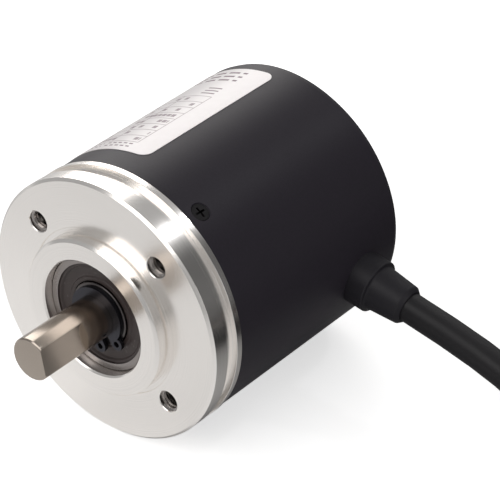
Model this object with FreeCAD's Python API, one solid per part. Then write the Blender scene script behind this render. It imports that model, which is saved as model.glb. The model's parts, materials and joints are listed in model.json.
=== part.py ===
import FreeCAD, Part
import math
import os

# Shaft-type incremental rotary encoder, 50 mm body, lying on its side.
# Origin: centre of the flange's front face, on the shaft's axis.  The shaft
# points to -Y, the body runs to +Y, +Z is up.  Angles about the shaft's axis
# are in degrees from +Z towards +X.  All sizes are in millimetres.

# ---- driving dimensions ----------------------------------------------------
flange_d = 50.0             # flange, and the surface that the body lies on
flange_t = 7.15             # flange front face to the cover's mouth
flange_chamfer = 0.5
groove_start = 3.4          # servo-clamp groove round the rim
groove_w = 2.5
groove_depth = 1.0
boss_d = 30.0               # pilot boss
boss_h = 3.0
boss_chamfer = 0.5
relief_w = 0.9              # shallow relief turned round the boss's foot
relief_depth = 0.3
bolt_pcd = 38.0             # four tapped holes in the flange's face
bolt_d = 4.0
bolt_count = 4
bolt_angle = 40.7
bolt_depth = 7.5
mouth_chamfer = 0.3         # at the mouths of the tapped holes and of the bearing seat

body_len = 52.1             # flange front face to the cover's rear face
cover_step = 0.15           # the cover is this much smaller in radius
cover_wall = 1.6
cover_end_wall = 1.8
cover_end_round = 2.2
spigot_len = 7.35           # centring spigot behind the flange, in the cover
spigot_chamfer = 0.4
slip_gap = 0.05             # radial clearance of what slides together
oring_from_end = 2.6        # groove's front wall to the spigot's end
oring_w = 1.5
oring_depth = 1.1

shaft_d = 8.0
shaft_tip = 18.0            # how far the tip stands out of the flange's face
flat_len = 10.0
flat_depth = 1.0
flat_angle = 79.5
tip_round = 0.3
shaft_end_chamfer = 0.3

bearing_d = 22.0            # two deep-groove ball bearings, 8 x 22 x 7
bearing_w = 7.0
bearing_recess = 2.0        # front bearing's face below the boss's face
ball_d = 3.969
ball_count = 7
race_gap = 0.045            # ball to raceway
inner_shoulder = 0.73       # depth of the raceways, as shares of the ball's radius
outer_shoulder = 0.86
outer_face_w = 1.4          # width of the outer ring's end face
outer_ring_chamfer = 0.3
inner_ring_chamfer = 0.25
bearing_span = 9.0          # distance between the two bearings
tube_wall = 2.5             # metal round the rear bearing
tube_past_bearing = 1.5
spring_h = 1.6              # preload spring, pressed
spring_t = 0.4
spring_gap = 0.2            # preload spring to its seat, and to the land beside it
spacer_wall = 1.5
seal_t = 0.7
seal_inset = 0.3            # seal's face below the ring's face
seal_seat_depth = 0.3       # how far the seal is snapped into the outer ring
seal_bead_w = 0.8
lip_gap = 0.12              # seal's lip to the inner ring
cage_w = 1.4
cage_gap = 0.12             # cage to seal
cage_past_balls = 0.9
pocket_gap = 0.08

circlip_t = 0.8
circlip_depth = 0.2         # depth of its groove in the shaft
circlip_band = 1.55         # how far it stands out of the shaft
circlip_gap = 1.9
circlip_angle = 152.0
lug_r = 1.2
lug_hole_r = 0.55
lug_side = 2.15             # lug's centre to the gap's middle
lug_out = 1.6               # lug's centre to the shaft's surface

disc_t = 1.1                # glass code disc
disc_gap = 0.8              # air each side of the code disc
board_t = 1.6
board_gap = 1.5             # board's edge to the cover's inside
standoff_af = 4.5           # hexagon across flats
standoff_overhang = 0.85    # a standoff's corner beyond the board's edge
disc_clear = 0.7            # code disc's edge to the standoffs
track_inset = 1.9           # code track's middle to the disc's edge
small_screw_d = 2.5         # board screws and the standoffs' studs
screw_d = 2.0               # cover screws and lamp screws
screw_y = 10.3
screw_angle = 33.0
screw_count = 3
screw_head_d = 3.4
screw_head_h = 0.9
screw_sink = 0.15           # top of the head below the cover's surface
screw_grip = 3.0            # thread below the spigot's surface
cross_len = 2.0             # cross recess
cross_w = 0.5
cross_depth = 0.5
hub_gap = 1.2               # rear retaining ring to the code disc's hub
hub_len = 4.0
hub_set_screw_r = 1.25
hub_neck = 2.0              # wall of the hub inside the code disc
hub_wall = 5.0              # and beside it
hub_step = 1.0              # the hub's front part is this much smaller
hub_rim = 1.2               # and its rim this thick

cable_d = 5.6
cable_from_end = 10.96      # cable's axis to the cover's rear face
cable_angle = 99.57
boot_collar_d = 10.0
boot_root_d = 8.5
boot_tip_d = 7.4
boot_collar_len = 3.6
boot_taper_len = 6.2
boot_end_len = 0.8
boot_neck_d = 8.0
boot_flange_t = 1.9         # inner flange, from the cover's inside inwards
boot_to_board = 0.2

label_t = 0.1
label_front = 12.45
label_len = 35.25
label_edge_angle = -1.2
label_width = 40.0          # measured round the cover
label_corner = 2.0

floor_z = -flange_d / 2     # what the body lies on

# ---- worked-out places -----------------------------------------------------
flange_r = flange_d / 2
cover_r = flange_r - cover_step
cover_in_r = cover_r - cover_wall
spigot_r = cover_in_r - slip_gap
spigot_y = flange_t + spigot_len
shaft_r = shaft_d / 2
bearing_r = bearing_d / 2
front_bearing_y = -boss_h + bearing_recess
front_seat_y = front_bearing_y + bearing_w
rear_bearing_y = front_seat_y + bearing_span
rear_bearing_end = rear_bearing_y + bearing_w
rear_seat_y = rear_bearing_y - spring_h
tube_r = bearing_r + tube_wall
tube_y = rear_bearing_end + tube_past_bearing
pitch_r = (shaft_r + bearing_r) / 2
ball_r = ball_d / 2
inner_land_r = pitch_r - inner_shoulder * ball_r
outer_land_r = pitch_r + outer_shoulder * ball_r
hub_y = rear_bearing_end + circlip_t + hub_gap
disc_y = hub_y + hub_len
screw_top_r = cover_r - screw_sink
seal_seat_r = bearing_r - outer_face_w + seal_seat_depth
cable_y = body_len - cable_from_end
board_y = cable_y - boot_collar_d / 2 - boot_to_board - board_t
board_r = cover_in_r - board_gap
standoff_r = standoff_af / 2 / math.cos(math.radians(30))
standoff_pitch = board_r - standoff_r + standoff_overhang
disc_r = standoff_pitch - standoff_r - disc_clear
track_r = disc_r - track_inset
lamp_angle = 60.0


# ---- helpers -----------------------------------------------------------------
def V(x, y, z):
    return FreeCAD.Vector(x, y, z)


ORIGIN = V(0, 0, 0)
AXIS = V(0, 1, 0)


def polar(radius, angle, y):
    a = math.radians(angle)
    return V(radius * math.sin(a), y, radius * math.cos(a))


def turned(points, centre=ORIGIN, axis=AXIS, degrees=360):
    """Solid turned from an outline of (radius, y) points about the shaft's axis."""
    corners = [V(r, y, 0) for r, y in points]
    face = Part.Face(Part.makePolygon(corners + corners[:1]))
    return face.revolve(centre, axis, degrees)


def ring(outer, inner, y0, y1):
    return turned([(inner, y0), (outer, y0), (outer, y1), (inner, y1)])


def rod(radius, y0, y1, at=ORIGIN):
    return Part.makeCylinder(radius, y1 - y0, V(at.x, y0, at.z), AXIS)


def radial_rod(radius, r0, r1, angle, y):
    direction = polar(1, angle, 0)
    return Part.makeCylinder(radius, r1 - r0, polar(r0, angle, y), direction)


def radial_cone(radius0, radius1, r0, r1, angle, y):
    direction = polar(1, angle, 0)
    return Part.makeCone(radius0, radius1, r1 - r0, polar(r0, angle, y), direction)


def turn(shape, angle):
    """Copy of a shape made at angle 0 (straight up), turned round the shaft's axis."""
    copy = shape.copy()
    copy.rotate(ORIGIN, AXIS, angle)
    return copy


def radial_box(r0, r1, width, y0, y1, angle):
    """Box whose height runs out along a radius and whose depth runs along Y."""
    box = Part.makeBox(width, y1 - y0, r1 - r0, V(-width / 2, y0, r0))
    return turn(box, angle)


def around(make, count, start):
    return [make(start + k * 360.0 / count) for k in range(count)]


def save(name, *solids):
    shape = solids[0] if len(solids) == 1 else Part.makeCompound(list(solids))
    shape.exportStep("parts/" + name + ".step")
    whole = all(s.isValid() for s in solids)
    print(f"{name:22s} solids {len(shape.Solids)}  volume {shape.Volume:10.2f}  valid {whole}")


# ---- flange housing ------------------------------------------------------------
oring_y = spigot_y - oring_from_end


def tapped_hole(angle):
    at = polar(bolt_pcd / 2, angle, 0)
    hole_r = bolt_d / 2
    hole = rod(hole_r, -1, bolt_depth, at)
    point = Part.makeCone(hole_r, 0, 0.6 * hole_r, V(at.x, bolt_depth, at.z), AXIS)
    mouth = Part.makeCone(hole_r + mouth_chamfer, hole_r, mouth_chamfer, at, AXIS)
    return hole.fuse([point, mouth])


def flange_housing():
    boss_r = boss_d / 2
    groove_end = groove_start + groove_w
    body = turned([
        (bearing_r + mouth_chamfer, -boss_h), (boss_r - boss_chamfer, -boss_h),
        (boss_r, boss_chamfer - boss_h), (boss_r, relief_depth),
        (boss_r + relief_w, relief_depth), (boss_r + relief_w, 0),
        (flange_r - flange_chamfer, 0), (flange_r, flange_chamfer),
        (flange_r, groove_start), (flange_r - groove_depth, groove_start),
        (flange_r - groove_depth, groove_end), (flange_r, groove_end),
        (flange_r, flange_t), (spigot_r, flange_t),
        (spigot_r, oring_y), (spigot_r - oring_depth, oring_y),
        (spigot_r - oring_depth, oring_y + oring_w), (spigot_r, oring_y + oring_w),
        (spigot_r, spigot_y - spigot_chamfer), (spigot_r - spigot_chamfer, spigot_y),
        (tube_r, spigot_y), (tube_r, tube_y - spigot_chamfer),
        (tube_r - spigot_chamfer, tube_y),
        (bearing_r, tube_y), (bearing_r, rear_seat_y),
        (outer_land_r, rear_seat_y), (outer_land_r, front_seat_y),
        (bearing_r, front_seat_y), (bearing_r, mouth_chamfer - boss_h)])
    cuts = around(tapped_hole, bolt_count, bolt_angle)
    cuts += around(lambda a: radial_rod(screw_d / 2, spigot_r - screw_grip, spigot_r + 1,
                                        a, screw_y), screw_count, screw_angle)
    cuts += around(lambda a: rod(small_screw_d / 2, spigot_y - 4, spigot_y + 1,
                                 polar(standoff_pitch, a, 0)), 3, 0)
    cuts += [rod(screw_d / 2, spigot_y - 4, spigot_y + 1, p) for p in lamp_screw_places()]
    return body.cut(cuts)


# ---- cover, its seal, screws and label ------------------------------------------
def countersunk(angle, gap):
    """Screw with a sunk head, or with a gap the hole that it goes through."""
    head_r = screw_head_d / 2
    under = screw_top_r - screw_head_h
    shank = radial_rod(screw_d / 2 + gap, spigot_r - screw_grip, under, angle, screw_y)
    head = radial_cone(screw_d / 2 + gap, head_r + gap, under, screw_top_r, angle, screw_y)
    return shank.fuse(head)


def cover():
    inner_end = body_len - cover_end_wall
    half = cover_end_round * (1 - math.sqrt(0.5))
    start = V(cover_r, body_len - cover_end_round, 0)
    middle = V(cover_r - half, body_len - half, 0)
    end = V(cover_r - cover_end_round, body_len, 0)
    corners = [end, V(0, body_len, 0), V(0, inner_end, 0), V(cover_in_r, inner_end, 0),
               V(cover_in_r, flange_t, 0), V(cover_r, flange_t, 0), start]
    edges = [Part.LineSegment(a, b).toShape() for a, b in zip(corners, corners[1:])]
    edges.append(Part.Arc(start, middle, end).toShape())
    cup = Part.Face(Part.Wire(Part.__sortEdges__(edges))).revolve(ORIGIN, AXIS, 360)
    outside = cover_r + 1
    cuts = around(lambda a: countersunk(a, slip_gap), screw_count, screw_angle)
    cuts += around(lambda a: radial_rod(screw_head_d / 2 + slip_gap, screw_top_r, outside,
                                        a, screw_y), screw_count, screw_angle)
    cuts.append(radial_rod(boot_neck_d / 2, cover_in_r - 3, outside, cable_angle, cable_y))
    return cup.cut(cuts)


def cover_screw(angle):
    floor = screw_top_r - cross_depth
    slots = [radial_box(floor, cover_r + 1, across, screw_y - along / 2, screw_y + along / 2,
                        angle) for across, along in ((cross_len, cross_w), (cross_w, cross_len))]
    return countersunk(angle, 0).cut(slots)


def cover_oring():
    thick = cover_in_r - (spigot_r - oring_depth)
    middle = spigot_r - oring_depth + thick / 2
    return Part.makeTorus(middle, thick / 2, V(0, oring_y + oring_w / 2, 0), AXIS)


def label():
    span = math.degrees(label_width / cover_r)
    low, high = cover_r, cover_r + label_t
    y0, y1 = label_front, label_front + label_len
    corners = [V(0, y0, low), V(0, y0, high), V(0, y1, high), V(0, y1, low)]
    face = Part.Face(Part.makePolygon(corners + corners[:1]))
    sheet = face.revolve(ORIGIN, AXIS, -span)
    sheet.rotate(ORIGIN, AXIS, label_edge_angle)
    upright = [e for e in sheet.Edges if abs(e.Length - label_t) < 1e-6]
    return sheet.makeFillet(label_corner, upright)


# ---- shaft and its rings ------------------------------------------------------------
clamp_h = 1.0
shaft_end = disc_y + disc_t + 2 * clamp_h
front_clip_y = front_bearing_y - circlip_t
rear_clip_y = rear_bearing_end


def shaft():
    tip = -shaft_tip
    flat_end = tip + flat_len
    neck = shaft_r - circlip_depth
    body = turned([
        (0, tip), (shaft_r, tip), (shaft_r, flat_end),
        (shaft_r, front_clip_y), (neck, front_clip_y),
        (neck, front_bearing_y), (shaft_r, front_bearing_y),
        (shaft_r, rear_clip_y), (neck, rear_clip_y),
        (neck, rear_clip_y + circlip_t), (shaft_r, rear_clip_y + circlip_t),
        (shaft_r, shaft_end - shaft_end_chamfer), (shaft_r - shaft_end_chamfer, shaft_end),
        (0, shaft_end)])
    tip_edge = [e for e in body.Edges if len(e.Vertexes) == 1
                and abs(e.CenterOfMass.y - tip) < slip_gap]
    body = body.makeFillet(tip_round, tip_edge)
    body = turn(body, flat_angle - 90)      # the round faces' seam falls in the flat
    flat = radial_box(shaft_r - flat_depth, shaft_r + 1, shaft_d + 1, tip - 1,
                      flat_end, flat_angle)
    dimple_r = hub_set_screw_r + 0.35
    dimple = radial_cone(0.1, dimple_r, shaft_r - 0.8, shaft_r + slip_gap,
                         set_screw_angle, set_screw_y)
    return body.cut([flat, dimple])


def circlip(y0, angle):
    """Open ring with two pierced lugs, seated in its groove in the shaft."""
    inner = shaft_r - circlip_depth
    outer = shaft_r + circlip_band
    y1 = y0 + circlip_t
    clip = ring(outer, inner, y0, y1)
    gap = Part.makeBox(circlip_gap, circlip_t, outer + 1, V(-circlip_gap / 2, y0, 0))
    clip = clip.cut(gap)
    for side in (-1, 1):
        centre = V(side * lug_side, 0, shaft_r + lug_out)
        lug = rod(lug_r, y0, y1, centre).cut(rod(inner, y0 - 1, y1 + 1))
        hole = rod(lug_hole_r, y0 - 1, y1 + 1, centre)
        clip = clip.fuse(lug).cut(hole)
    return turn(clip.removeSplitter(), angle)


# ---- ball bearing ---------------------------------------------------------------------
def race_cut(y0):
    middle = y0 + bearing_w / 2
    return Part.makeTorus(pitch_r, ball_r + race_gap, V(0, middle, 0), AXIS)


def outer_ring(y0):
    y1 = y0 + bearing_w
    chamfer = outer_ring_chamfer
    mouth_r = bearing_r - outer_face_w
    face0, face1 = y0 + seal_inset, y1 - seal_inset
    body = turned([
        (mouth_r, y0), (bearing_r - chamfer, y0), (bearing_r, y0 + chamfer),
        (bearing_r, y1 - chamfer), (bearing_r - chamfer, y1), (mouth_r, y1),
        (mouth_r, face1), (seal_seat_r, face1), (seal_seat_r, face1 - seal_t),
        (outer_land_r, face1 - seal_t), (outer_land_r, face0 + seal_t),
        (seal_seat_r, face0 + seal_t), (seal_seat_r, face0), (mouth_r, face0)])
    return body.cut(race_cut(y0))


def inner_ring(y0):
    y1 = y0 + bearing_w
    chamfer = inner_ring_chamfer
    body = turned([
        (shaft_r + chamfer, y0), (inner_land_r - chamfer, y0), (inner_land_r, y0 + chamfer),
        (inner_land_r, y1 - chamfer), (inner_land_r - chamfer, y1), (shaft_r + chamfer, y1),
        (shaft_r, y1 - chamfer), (shaft_r, y0 + chamfer)])
    return body.cut(race_cut(y0))


def balls(y0):
    middle = y0 + bearing_w / 2
    return around(lambda a: Part.makeSphere(ball_r, polar(pitch_r, a, middle)), ball_count, 0)


def cage(y0):
    """Crown cage: a ring on one side of the balls, with fingers between them."""
    back = y0 + seal_inset + seal_t + cage_gap
    middle = y0 + bearing_w / 2
    crown = ring(pitch_r + cage_w / 2, pitch_r - cage_w / 2, back, middle + cage_past_balls)
    pockets = around(lambda a: radial_rod(ball_r + pocket_gap, 0, bearing_r, a, middle),
                     ball_count, 0)
    return crown.cut(pockets)


def seal(y0, front):
    """Rubber seal with a raised outer bead and a lip that runs by the inner ring."""
    lip_r = inner_land_r + lip_gap
    dish = 0.3                              # middle of the seal below its bead
    bead_r = seal_seat_r - seal_bead_w
    side = 1 if front else -1
    face = y0 + seal_inset if front else y0 + bearing_w - seal_inset
    outline = [
        (seal_seat_r, 0), (seal_seat_r, seal_t), (lip_r + 0.7, seal_t), (lip_r, 0.7 * seal_t),
        (lip_r, 0.1), (lip_r + 0.7, 0.1), (lip_r + 0.9, dish), (bead_r - dish, dish),
        (bead_r, 0)]
    return turned([(r, face + side * depth) for r, depth in outline])


def bearing_spacer():
    return ring(shaft_r + spacer_wall, shaft_r, front_seat_y, rear_bearing_y)


def preload_spring():
    outer = bearing_r - spring_gap
    inner = outer_land_r + spring_gap / 2
    return turned([(inner, rear_seat_y), (outer, rear_bearing_y - spring_t),
                   (outer, rear_bearing_y), (inner, rear_seat_y + spring_t)])


# ---- code disc and hub -----------------------------------------------------------------
set_screw_y = hub_y + 1.4
set_screw_angle = 0.0
disc_bore_r = shaft_r + hub_neck
hub_r = shaft_r + hub_wall


def disc_hub():
    body = turned([
        (shaft_r, hub_y), (hub_r - hub_step, hub_y), (hub_r - hub_step, disc_y - hub_rim),
        (hub_r, disc_y - hub_rim),
        (hub_r, disc_y), (disc_bore_r, disc_y), (disc_bore_r, disc_y + disc_t + clamp_h),
        (shaft_r, disc_y + disc_t + clamp_h)])
    return body.cut(radial_rod(hub_set_screw_r, shaft_r - 1, hub_r + 1,
                               set_screw_angle, set_screw_y))


def set_screw():
    body = radial_rod(hub_set_screw_r, shaft_r + 0.1, hub_r - 1.2,
                      set_screw_angle, set_screw_y)
    socket = Part.makeCylinder(0.65, 2, polar(hub_r - 2.4, set_screw_angle, set_screw_y),
                               polar(1, set_screw_angle, 0))
    return body.cut(socket)


def code_disc():
    return ring(disc_r, disc_bore_r, disc_y, disc_y + disc_t)


def disc_clamp():
    top = disc_y + disc_t
    bevel = 0.4
    return turned([(disc_bore_r, top), (hub_r, top), (hub_r, top + clamp_h - bevel),
                   (hub_r - bevel, top + clamp_h), (disc_bore_r, top + clamp_h)])


# ---- lamp in front of the disc, sensor behind it --------------------------------------------
lamp_inner_r = tube_r + 0.4
lamp_foot_inner_r = tube_r + 2.1
lamp_outer_r = standoff_pitch + 0.6
lamp_top = disc_y - disc_gap
lamp_w = 9.0
foot_w = 18.0
foot_t = 2.5
lamp_r = 1.5
lamp_h = 2.4
lamp_dome = 0.7             # height of the lamp's domed end
pan_head_r = 1.8
pan_head_h = 1.3
slot_w = 0.5


def lamp_screw_places():
    reach = (foot_w - lamp_w / 2) / 2
    out = (lamp_foot_inner_r + lamp_outer_r) / 2
    return [turn(Part.Vertex(V(side * reach, 0, out)), lamp_angle).Point for side in (-1, 1)]


def lamp_block():
    column = radial_box(lamp_inner_r, lamp_outer_r, lamp_w, spigot_y, lamp_top, lamp_angle)
    foot = radial_box(lamp_foot_inner_r, lamp_outer_r, foot_w, spigot_y, spigot_y + foot_t,
                      lamp_angle)
    cuts = [rod(screw_d / 2, spigot_y - 1, spigot_y + foot_t + 1, p)
            for p in lamp_screw_places()]
    cuts.append(rod(lamp_r, lamp_top - lamp_h, lamp_top + 1, polar(track_r, lamp_angle, 0)))
    return column.fuse(foot).removeSplitter().cut(cuts)


def lamp():
    at = polar(track_r, lamp_angle, 0)
    shoulder = lamp_top - lamp_dome
    body = rod(lamp_r, lamp_top - lamp_h, shoulder, at)
    dome = Part.makeSphere(lamp_r, V(at.x, lamp_top - lamp_r - 0.1, at.z))
    return body.fuse(dome.common(rod(lamp_r, shoulder - 0.1, lamp_top, at)))


def lamp_screw(at):
    foot = spigot_y + foot_t
    shank = rod(screw_d / 2, spigot_y - 3.5, foot, at)
    head = rod(pan_head_r, foot, foot + pan_head_h, at)
    slot = Part.makeBox(4, 1, slot_w, V(at.x - 2, foot + pan_head_h / 2, at.z - slot_w / 2))
    return shank.fuse(head).cut(slot)


reticle_t = 0.8
reticle_y = disc_y + disc_t + disc_gap


def reticle():
    return radial_box(track_r - 3, track_r + 2.6, 7, reticle_y, reticle_y + reticle_t,
                      lamp_angle)


def sensor_block():
    block = radial_box(track_r - 4, track_r + 3.2, 9, reticle_y + reticle_t, board_y, lamp_angle)
    return block.makeChamfer(0.4, [e for e in block.Edges if abs(e.Length - 9) < 1e-6][:1])


# ---- board, standoffs and what is soldered on ---------------------------------------------------
def hexagon(radius, y0, y1, at):
    corners = [V(at.x + radius * math.cos(math.radians(60 * k)), y0,
                 at.z + radius * math.sin(math.radians(60 * k))) for k in range(6)]
    face = Part.Face(Part.makePolygon(corners + corners[:1]))
    return face.extrude(V(0, y1 - y0, 0))


def standoff(angle):
    at = polar(standoff_pitch, angle, 0)
    pillar = turn(hexagon(standoff_r, spigot_y, board_y, V(0, 0, standoff_pitch)), angle)
    stud = rod(small_screw_d / 2, spigot_y - 3.8, spigot_y, at)
    hole = rod(small_screw_d / 2, board_y - 4, board_y + 1, at)
    return pillar.fuse(stud).cut(hole)


def board():
    plate = rod(board_r, board_y, board_y + board_t)
    holes = around(lambda a: rod(small_screw_d / 2 + 0.1, board_y - 1, board_y + board_t + 1,
                                 polar(standoff_pitch, a, 0)), 3, 0)
    return plate.cut(holes)


board_head_r = 2.1
board_head_h = 1.5


def board_screw(angle):
    at = polar(standoff_pitch, angle, 0)
    top = board_y + board_t
    shank = rod(small_screw_d / 2, board_y - 3.8, top, at)
    head = rod(board_head_r, top, top + board_head_h, at)
    reach = 1.2                             # half the cross recess's length
    cross = [Part.makeBox(2 * reach, 2, slot_w, V(at.x - reach, top + 0.7, at.z - slot_w / 2)),
             Part.makeBox(slot_w, 2, 2 * reach, V(at.x - slot_w / 2, top + 0.7, at.z - reach))]
    return shank.fuse(head).cut(cross)


def board_parts():
    """Driver chips, regulator, capacitors and resistors on the board's rear side."""
    top = board_y + board_t
    chips = [(-9.5, 4.0, 6.0, 8.6, 1.8), (-9.5, -8.0, 5.0, 6.0, 1.6), (2.0, 9.5, 6.5, 4.5, 2.2)]
    solids = [Part.makeBox(w, h, d, V(x - w / 2, top, z - d / 2)) for x, z, w, d, h in chips]
    cans = [(-2.0, -13.0, 2.2, 5.0), (4.0, -13.5, 2.2, 5.0)]
    solids += [rod(r, top, top + h, V(x, 0, z)) for x, z, r, h in cans]
    for k in range(6):
        solids.append(Part.makeBox(1.2, 0.6, 2.0, V(-16.5 + 2.0 * k, top, -2.6)))
    return solids


# Connector on the board: its row of contacts faces the cable.
plug_y0 = board_y + board_t + 2.0
plug_y1 = plug_y0 + 4.0
plug_w = 11.0
header_back = 0.0
plug_back = 2.0
header_front = 8.0
plug_front = 10.0
wire_count = 5
wire_d = 1.2


def connector_header():
    shell = radial_box(header_back, header_front, plug_w + 2, board_y + board_t, plug_y1 + 1,
                       cable_angle)
    mouth = radial_box(plug_back, header_front + 1, plug_w, plug_y0, plug_y1, cable_angle)
    return shell.cut(mouth)


def connector_plug():
    return radial_box(plug_back, plug_front, plug_w, plug_y0, plug_y1, cable_angle)


# ---- cable ------------------------------------------------------------------------------------
cable_r = cable_d / 2
sheath_start = 15.0                                  # stripped end inside the cover
crimp_wall = 0.8
crimp_from_end = 2.5
crimp_len = 3.0
collar_end = flange_r + boot_collar_len
taper_end = collar_end + boot_taper_len
boot_end = taper_end + boot_end_len


def wire_ring(k, radius):
    """Place of conductor k in the cable's section: across, and along the shaft's axis."""
    a = 2 * math.pi * k / wire_count
    return radius * math.sin(a), radius * math.cos(a)


def inner_wires():
    wires = []
    order = sorted(range(wire_count), key=lambda k: wire_ring(k, 1)[0])
    for place, k in enumerate(order):
        across, along = wire_ring(k, 0.27 * cable_d)
        start = V(across, cable_y + along, sheath_start)
        end = V((place - (wire_count - 1) / 2) * 2.0, (plug_y0 + plug_y1) / 2, plug_front)
        wire = Part.makeCylinder(wire_d / 2, (start - end).Length, end, start - end)
        bounds = Part.makeBox(40, 40, sheath_start - plug_front,
                              V(-20, cable_y - 20, plug_front))
        wires.append(turn(wire.common(bounds), cable_angle))
    return wires


def cable_entry():
    return radial_rod(cable_r, sheath_start, boot_end, cable_angle, cable_y)


def cable_crimp():
    start = sheath_start + crimp_from_end
    outer = radial_rod(cable_r + crimp_wall, start, start + crimp_len, cable_angle, cable_y)
    return outer.cut(cable_entry())


def strain_relief():
    outside = rod(cover_r, 0, body_len + 10)
    inside = rod(cover_in_r, 0, body_len + 10)
    collar = radial_rod(boot_collar_d / 2, flange_r - 3, collar_end, cable_angle, cable_y)
    collar = collar.cut(outside)
    flange = radial_rod(boot_collar_d / 2, cover_in_r - boot_flange_t, cover_r,
                        cable_angle, cable_y).common(inside)
    neck = radial_rod(boot_neck_d / 2, cover_in_r - 1, flange_r + 1, cable_angle, cable_y)
    taper = radial_cone(boot_root_d / 2, boot_tip_d / 2, collar_end, taper_end,
                        cable_angle, cable_y)
    tip = radial_cone(boot_tip_d / 2, cable_r + 0.1, taper_end, boot_end, cable_angle, cable_y)
    body = collar.fuse([neck, flange, taper, tip])
    return body.cut(radial_rod(cable_r, 0, boot_end + 1, cable_angle, cable_y))


# Route of the free cable: out of the boot, down to the surface, into the coil.
exit_point = polar(boot_end, cable_angle, cable_y)
tie_t = 0.6
coil_x = 80.6
coil_y = 78.7
coil_mid_r = 5.5 * cable_d
layer_h = cable_d * math.sqrt(0.75)
coil_base = floor_z + tie_t + cable_r                # axis height of the lowest turns
entry_angle = -20.0                                  # from +X towards +Y
entry_r = coil_mid_r + cable_d
entry = V(coil_x + entry_r * math.cos(math.radians(entry_angle)),
          coil_y + entry_r * math.sin(math.radians(entry_angle)), coil_base)
heading = V(math.cos(math.radians(entry_angle + 90)), math.sin(math.radians(entry_angle + 90)), 0)
straight_out = exit_point + polar(18.4, cable_angle, 0)
route = [exit_point, straight_out, V(68.0, 38.0, -13.0), V(83.4, 35.4, -17.9),
         V(98.6, 40.6, coil_base), entry - heading * 15.3, entry]


def route_wire(points):
    """Straight runs joined by tangent arcs, each as large as its two runs allow."""
    edges = []
    start = points[0]
    for before, corner, after in zip(points, points[1:], points[2:]):
        back = (before - corner).normalize()
        ahead = (after - corner).normalize()
        turn_angle = math.pi - back.getAngle(ahead)
        reach = 0.45 * min((before - corner).Length, (after - corner).Length)
        radius = reach / math.tan(turn_angle / 2)
        print(f"cable bend: turn {math.degrees(turn_angle):5.1f} deg, radius {radius:6.1f} mm")
        first = corner + back * reach
        last = corner + ahead * reach
        inside = (back + ahead).normalize()
        middle = corner + inside * (radius / math.cos(turn_angle / 2) - radius)
        edges.append(Part.LineSegment(start, first).toShape())
        edges.append(Part.Arc(first, middle, last).toShape())
        start = last
    edges.append(Part.LineSegment(start, points[-1]).toShape())
    return Part.Wire(edges)


def cable_tube():
    path = route_wire(route)
    direction = route[1] - route[0]
    section = Part.Wire(Part.makeCircle(cable_r, route[0], direction))
    tube = path.makePipeShell([section], True, False)
    expected = math.pi * cable_r ** 2 * path.Length
    print(f"cable tube: length {path.Length:.1f} mm, volume {tube.Volume:.1f}, "
          f"section times length {expected:.1f}")
    return tube


def coil_outline(extra):
    """Section of the coil's turns, laid 3, 2, 3 and 2 high, grown by a wrap's thickness."""
    grow = extra / cable_d
    side = 1.5 + grow
    bottom = -0.5 - grow
    shoulder = 1.866 + 0.268 * grow
    top = 3.098 + grow
    half_top = 0.789 + 0.577 * grow
    right = [(side, bottom), (side, shoulder), (half_top, top)]
    left = [(-x, z) for x, z in reversed(right)]
    return [(coil_mid_r + cable_d * x, coil_base + cable_d * z) for x, z in right + left]


def coil_ring(extra, degrees, start):
    corners = [V(coil_x + r, coil_y, z) for r, z in coil_outline(extra)]
    face = Part.Face(Part.makePolygon(corners + corners[:1]))
    face.rotate(V(coil_x, coil_y, 0), V(0, 0, 1), start)
    return face.revolve(V(coil_x, coil_y, 0), V(0, 0, 1), degrees)


end_angle = -130.0            # where the last, uppermost turn stops
lead_span = 56.0              # sector that the bare leads fill, in degrees
last_turn_r = coil_mid_r + cable_d / 2
last_turn_z = coil_base + 3 * layer_h


def coil_sector(inner, outer, z0, z1, start, degrees):
    corners = [V(coil_x + inner, coil_y, z0), V(coil_x + outer, coil_y, z0),
               V(coil_x + outer, coil_y, z1), V(coil_x + inner, coil_y, z1)]
    face = Part.Face(Part.makePolygon(corners + corners[:1]))
    face.rotate(V(coil_x, coil_y, 0), V(0, 0, 1), start)
    return face.revolve(V(coil_x, coil_y, 0), V(0, 0, 1), degrees)


entry_span = 60.0             # sector in which the cable comes in beside the lowest turn


def cable_coil():
    coil = coil_ring(0, 360, 0)
    way_in = coil_sector(entry_r - cable_r - slip_gap, entry_r + 2 * cable_d,
                         coil_base - cable_d, coil_base + cable_r + slip_gap,
                         entry_angle - entry_span, entry_span)
    slot = coil_sector(last_turn_r - cable_d / 2, last_turn_r + 2 * cable_d,
                       last_turn_z - 0.366 * cable_d, last_turn_z + cable_d,
                       end_angle, lead_span)
    return coil.cut([way_in, slot])


tie_w = 10.0
tie_angle = 135.0


def cable_tie():
    span = math.degrees(tie_w / coil_mid_r)
    start = tie_angle - span / 2
    return coil_ring(tie_t, span, start).cut(coil_ring(0, span + 10, start - 5))


lead_len = 30.0
bare_len = 5.0
strand_r = 0.35


def lead_wires(bare):
    solids = []
    for k in range(wire_count):
        across, up = wire_ring(k, 0.24 * cable_d)
        radius = last_turn_r + across
        middle_z = last_turn_z + up
        full = math.degrees(lead_len / radius)
        cut = math.degrees(bare_len / radius)
        thick = strand_r if bare else wire_d / 2
        start = end_angle + (full - cut if bare else 0)
        span = cut if bare else full - cut
        centre = V(coil_x, coil_y, 0)
        disc = Part.Face(Part.Wire(Part.makeCircle(
            thick, V(coil_x + radius, coil_y, middle_z), V(0, 1, 0))))
        disc.rotate(centre, V(0, 0, 1), start)
        solids.append(disc.revolve(centre, V(0, 0, 1), span))
    return solids


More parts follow.
